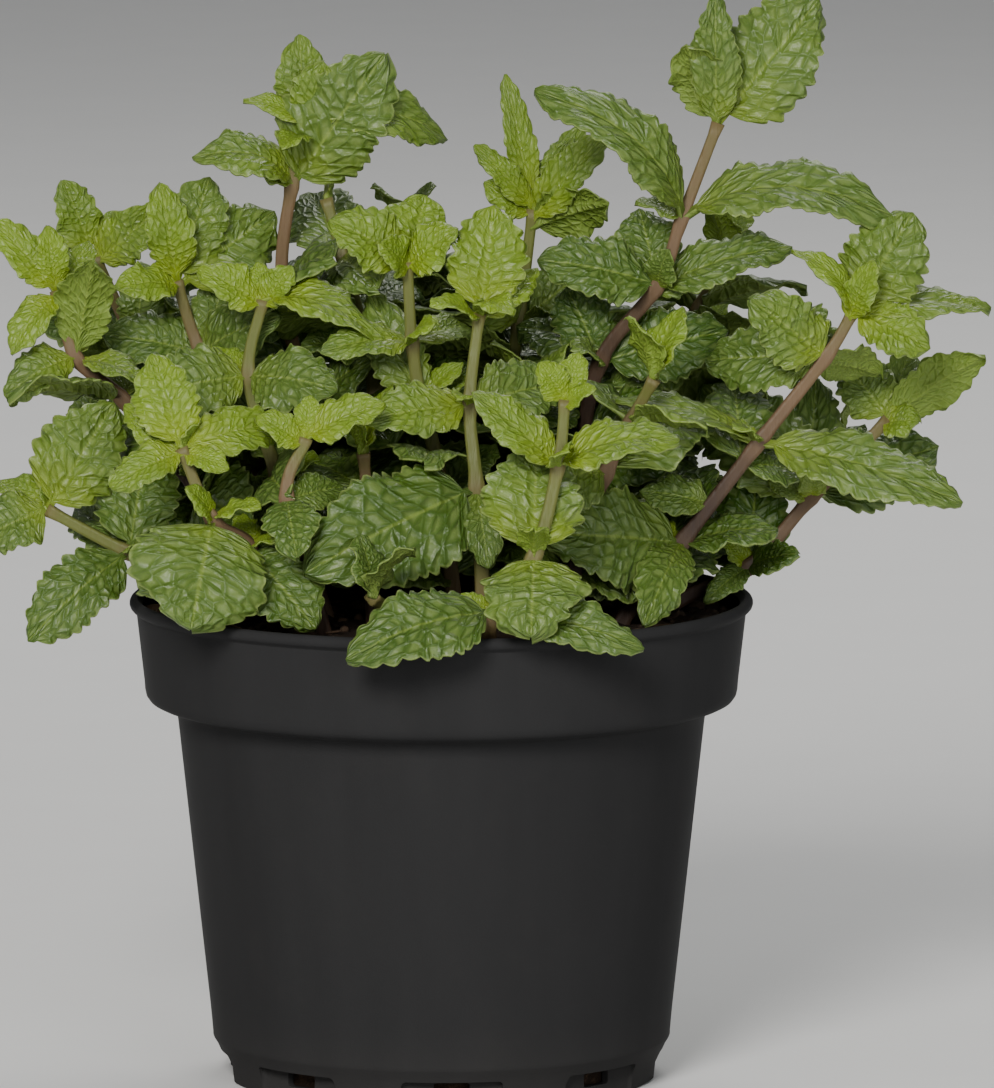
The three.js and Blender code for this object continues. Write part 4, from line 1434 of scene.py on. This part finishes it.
class MintPlantSettings(bpy.types.PropertyGroup):
    tooth_depth: number_setting(
        "Tooth depth", "How far the teeth stand out of a leaf 14 mm wide", 0.0012,
        max=0.004, unit="LENGTH",
    )
    quilt_depth: number_setting(
        "Quilt depth", "Height of the pillows between the veins of a leaf 16 mm wide", 0.0007,
        max=0.002, unit="LENGTH",
    )
    ruffle: number_setting(
        "Ruffle", "How much the leaf edges wave, as a share of the leaf's width", 0.055,
        max=0.2, subtype="FACTOR",
    )
    knot_swell: number_setting(
        "Node swelling", "How much thicker a stem is where leaves grow from it", 0.32,
        max=1, subtype="FACTOR",
    )
    # Colour of old leaves, also mixed into the vein grooves and cell creases as painted shade
    leaf_old_and_groove_shade: colour_setting(
        "Leaf shade", "Colour of old leaves and vein grooves", (0.03, 0.075, 0.004)
    )
    leaf_mature: colour_setting("Leaf", "Colour of grown leaves", (0.088, 0.148, 0.022))
    leaf_young: colour_setting("Young leaf", "Colour of young leaves", (0.18, 0.28, 0.012))
    # Yellow green painted on as a glow of light coming through young leaves
    leaf_painted_glow: colour_setting(
        "Leaf glow", "Yellow green where light comes through", (0.26, 0.335, 0.01)
    )
    # Pale colour of the leaf edges, also mixed onto the pillow tops as a painted highlight
    leaf_edge_and_highlight: colour_setting("Leaf edge", "Pale colour of edges and pillows", (0.29, 0.37, 0.11))
    leaf_rib: colour_setting("Midrib", "Colour of the midrib", (0.24, 0.32, 0.05))
    leaf_under: colour_setting("Underside", "Colour of the leaf's underside", (0.13, 0.19, 0.04))
    stem_purple: colour_setting("Stem foot", "Colour of old stems", (0.04, 0.022, 0.016))
    stem_pink: colour_setting(
        "Stem middle", "Colour of stems half way up", (0.15, 0.093, 0.048)
    )
    stem_olive: colour_setting("Stem top", "Colour of young stems", (0.115, 0.14, 0.026))


class MintPotSettings(bpy.types.PropertyGroup):
    pot_dark: colour_setting("Pot dark", "Darker tone of the plastic", (0.023, 0.023, 0.0235))
    pot_light: colour_setting("Pot light", "Lighter tone of the plastic", (0.03, 0.03, 0.0305))


class MintStageSettings(bpy.types.PropertyGroup):
    paper: colour_setting("Paper", "Colour of the floor and backdrop", (0.8, 0.8, 0.79))
    air_strength: number_setting("Air strength", "Brightness of the light from all round", 0.22)
    key_power: number_setting("Key power", "Power of the main light", 62, unit="POWER")
    fill_power: number_setting("Fill power", "Power of the fill light", 15, unit="POWER")
    back_power: number_setting("Back power", "Power of the light behind", 11, unit="POWER")


class MINT_OT_pot(bpy.types.Operator):
    """Model the black nursery pot with its lip, band, ledge and notched foot"""

    bl_idname = "mint.pot"
    bl_label = "Add pot"

    def execute(self, context):
        build_pot(context.scene.mint_pot)
        return {"FINISHED"}


class MINT_OT_soil(bpy.types.Operator):
    """Model the compost with its crumbs"""

    bl_idname = "mint.soil"
    bl_label = "Add soil"

    def execute(self, context):
        build_soil()
        return {"FINISHED"}


class MINT_OT_stems(bpy.types.Operator):
    """Model the square stems with their swollen nodes"""

    bl_idname = "mint.stems"
    bl_label = "Add stems"

    def execute(self, context):
        build_stems(context.scene.mint_plant)
        return {"FINISHED"}


class MINT_OT_leaves(bpy.types.Operator):
    """Model the quilted, toothed leaves of every stem"""

    bl_idname = "mint.leaves"
    bl_label = "Add leaves"

    def execute(self, context):
        build_leaves(context.scene.mint_plant)
        return {"FINISHED"}


class MINT_OT_stage(bpy.types.Operator):
    """Set up the floor, the lights and the camera"""

    bl_idname = "mint.stage"
    bl_label = "Add stage"

    def execute(self, context):
        settings = context.scene.mint_stage
        build_floor(settings)
        build_lights(settings)
        build_camera()
        return {"FINISHED"}


class MINT_PT_panel(bpy.types.Panel):
    """Sidebar panel with every step of the plant"""

    bl_idname = "MINT_PT_panel"
    bl_label = "Potted mint plant"
    bl_space_type = "VIEW_3D"
    bl_region_type = "UI"
    bl_category = "Mint"

    def draw(self, context):
        for name in GROUPS:
            group = getattr(context.scene, name)
            for setting in group.__annotations__:
                self.layout.prop(group, setting)
        for step in STEPS:
            self.layout.operator(f"mint.{step}")


STEPS = ["stage", "pot", "soil", "stems", "leaves"]
GROUPS = {
    "mint_plant": MintPlantSettings,
    "mint_pot": MintPotSettings,
    "mint_stage": MintStageSettings,
}
CLASSES = [
    *GROUPS.values(),
    MINT_OT_pot,
    MINT_OT_soil,
    MINT_OT_stems,
    MINT_OT_leaves,
    MINT_OT_stage,
    MINT_PT_panel,
]


def register():
    for cls in CLASSES:
        bpy.utils.register_class(cls)
    for name, group in GROUPS.items():
        setattr(bpy.types.Scene, name, bpy.props.PointerProperty(type=group))


def unregister():
    for name in GROUPS:
        delattr(bpy.types.Scene, name)
    for cls in reversed(CLASSES):
        bpy.utils.unregister_class(cls)


def main():
    register()
    bpy.ops.mint.stage()
    bpy.ops.mint.pot()
    bpy.ops.mint.soil()
    bpy.ops.mint.stems()
    bpy.ops.mint.leaves()


if __name__ == "__main__":
    main()
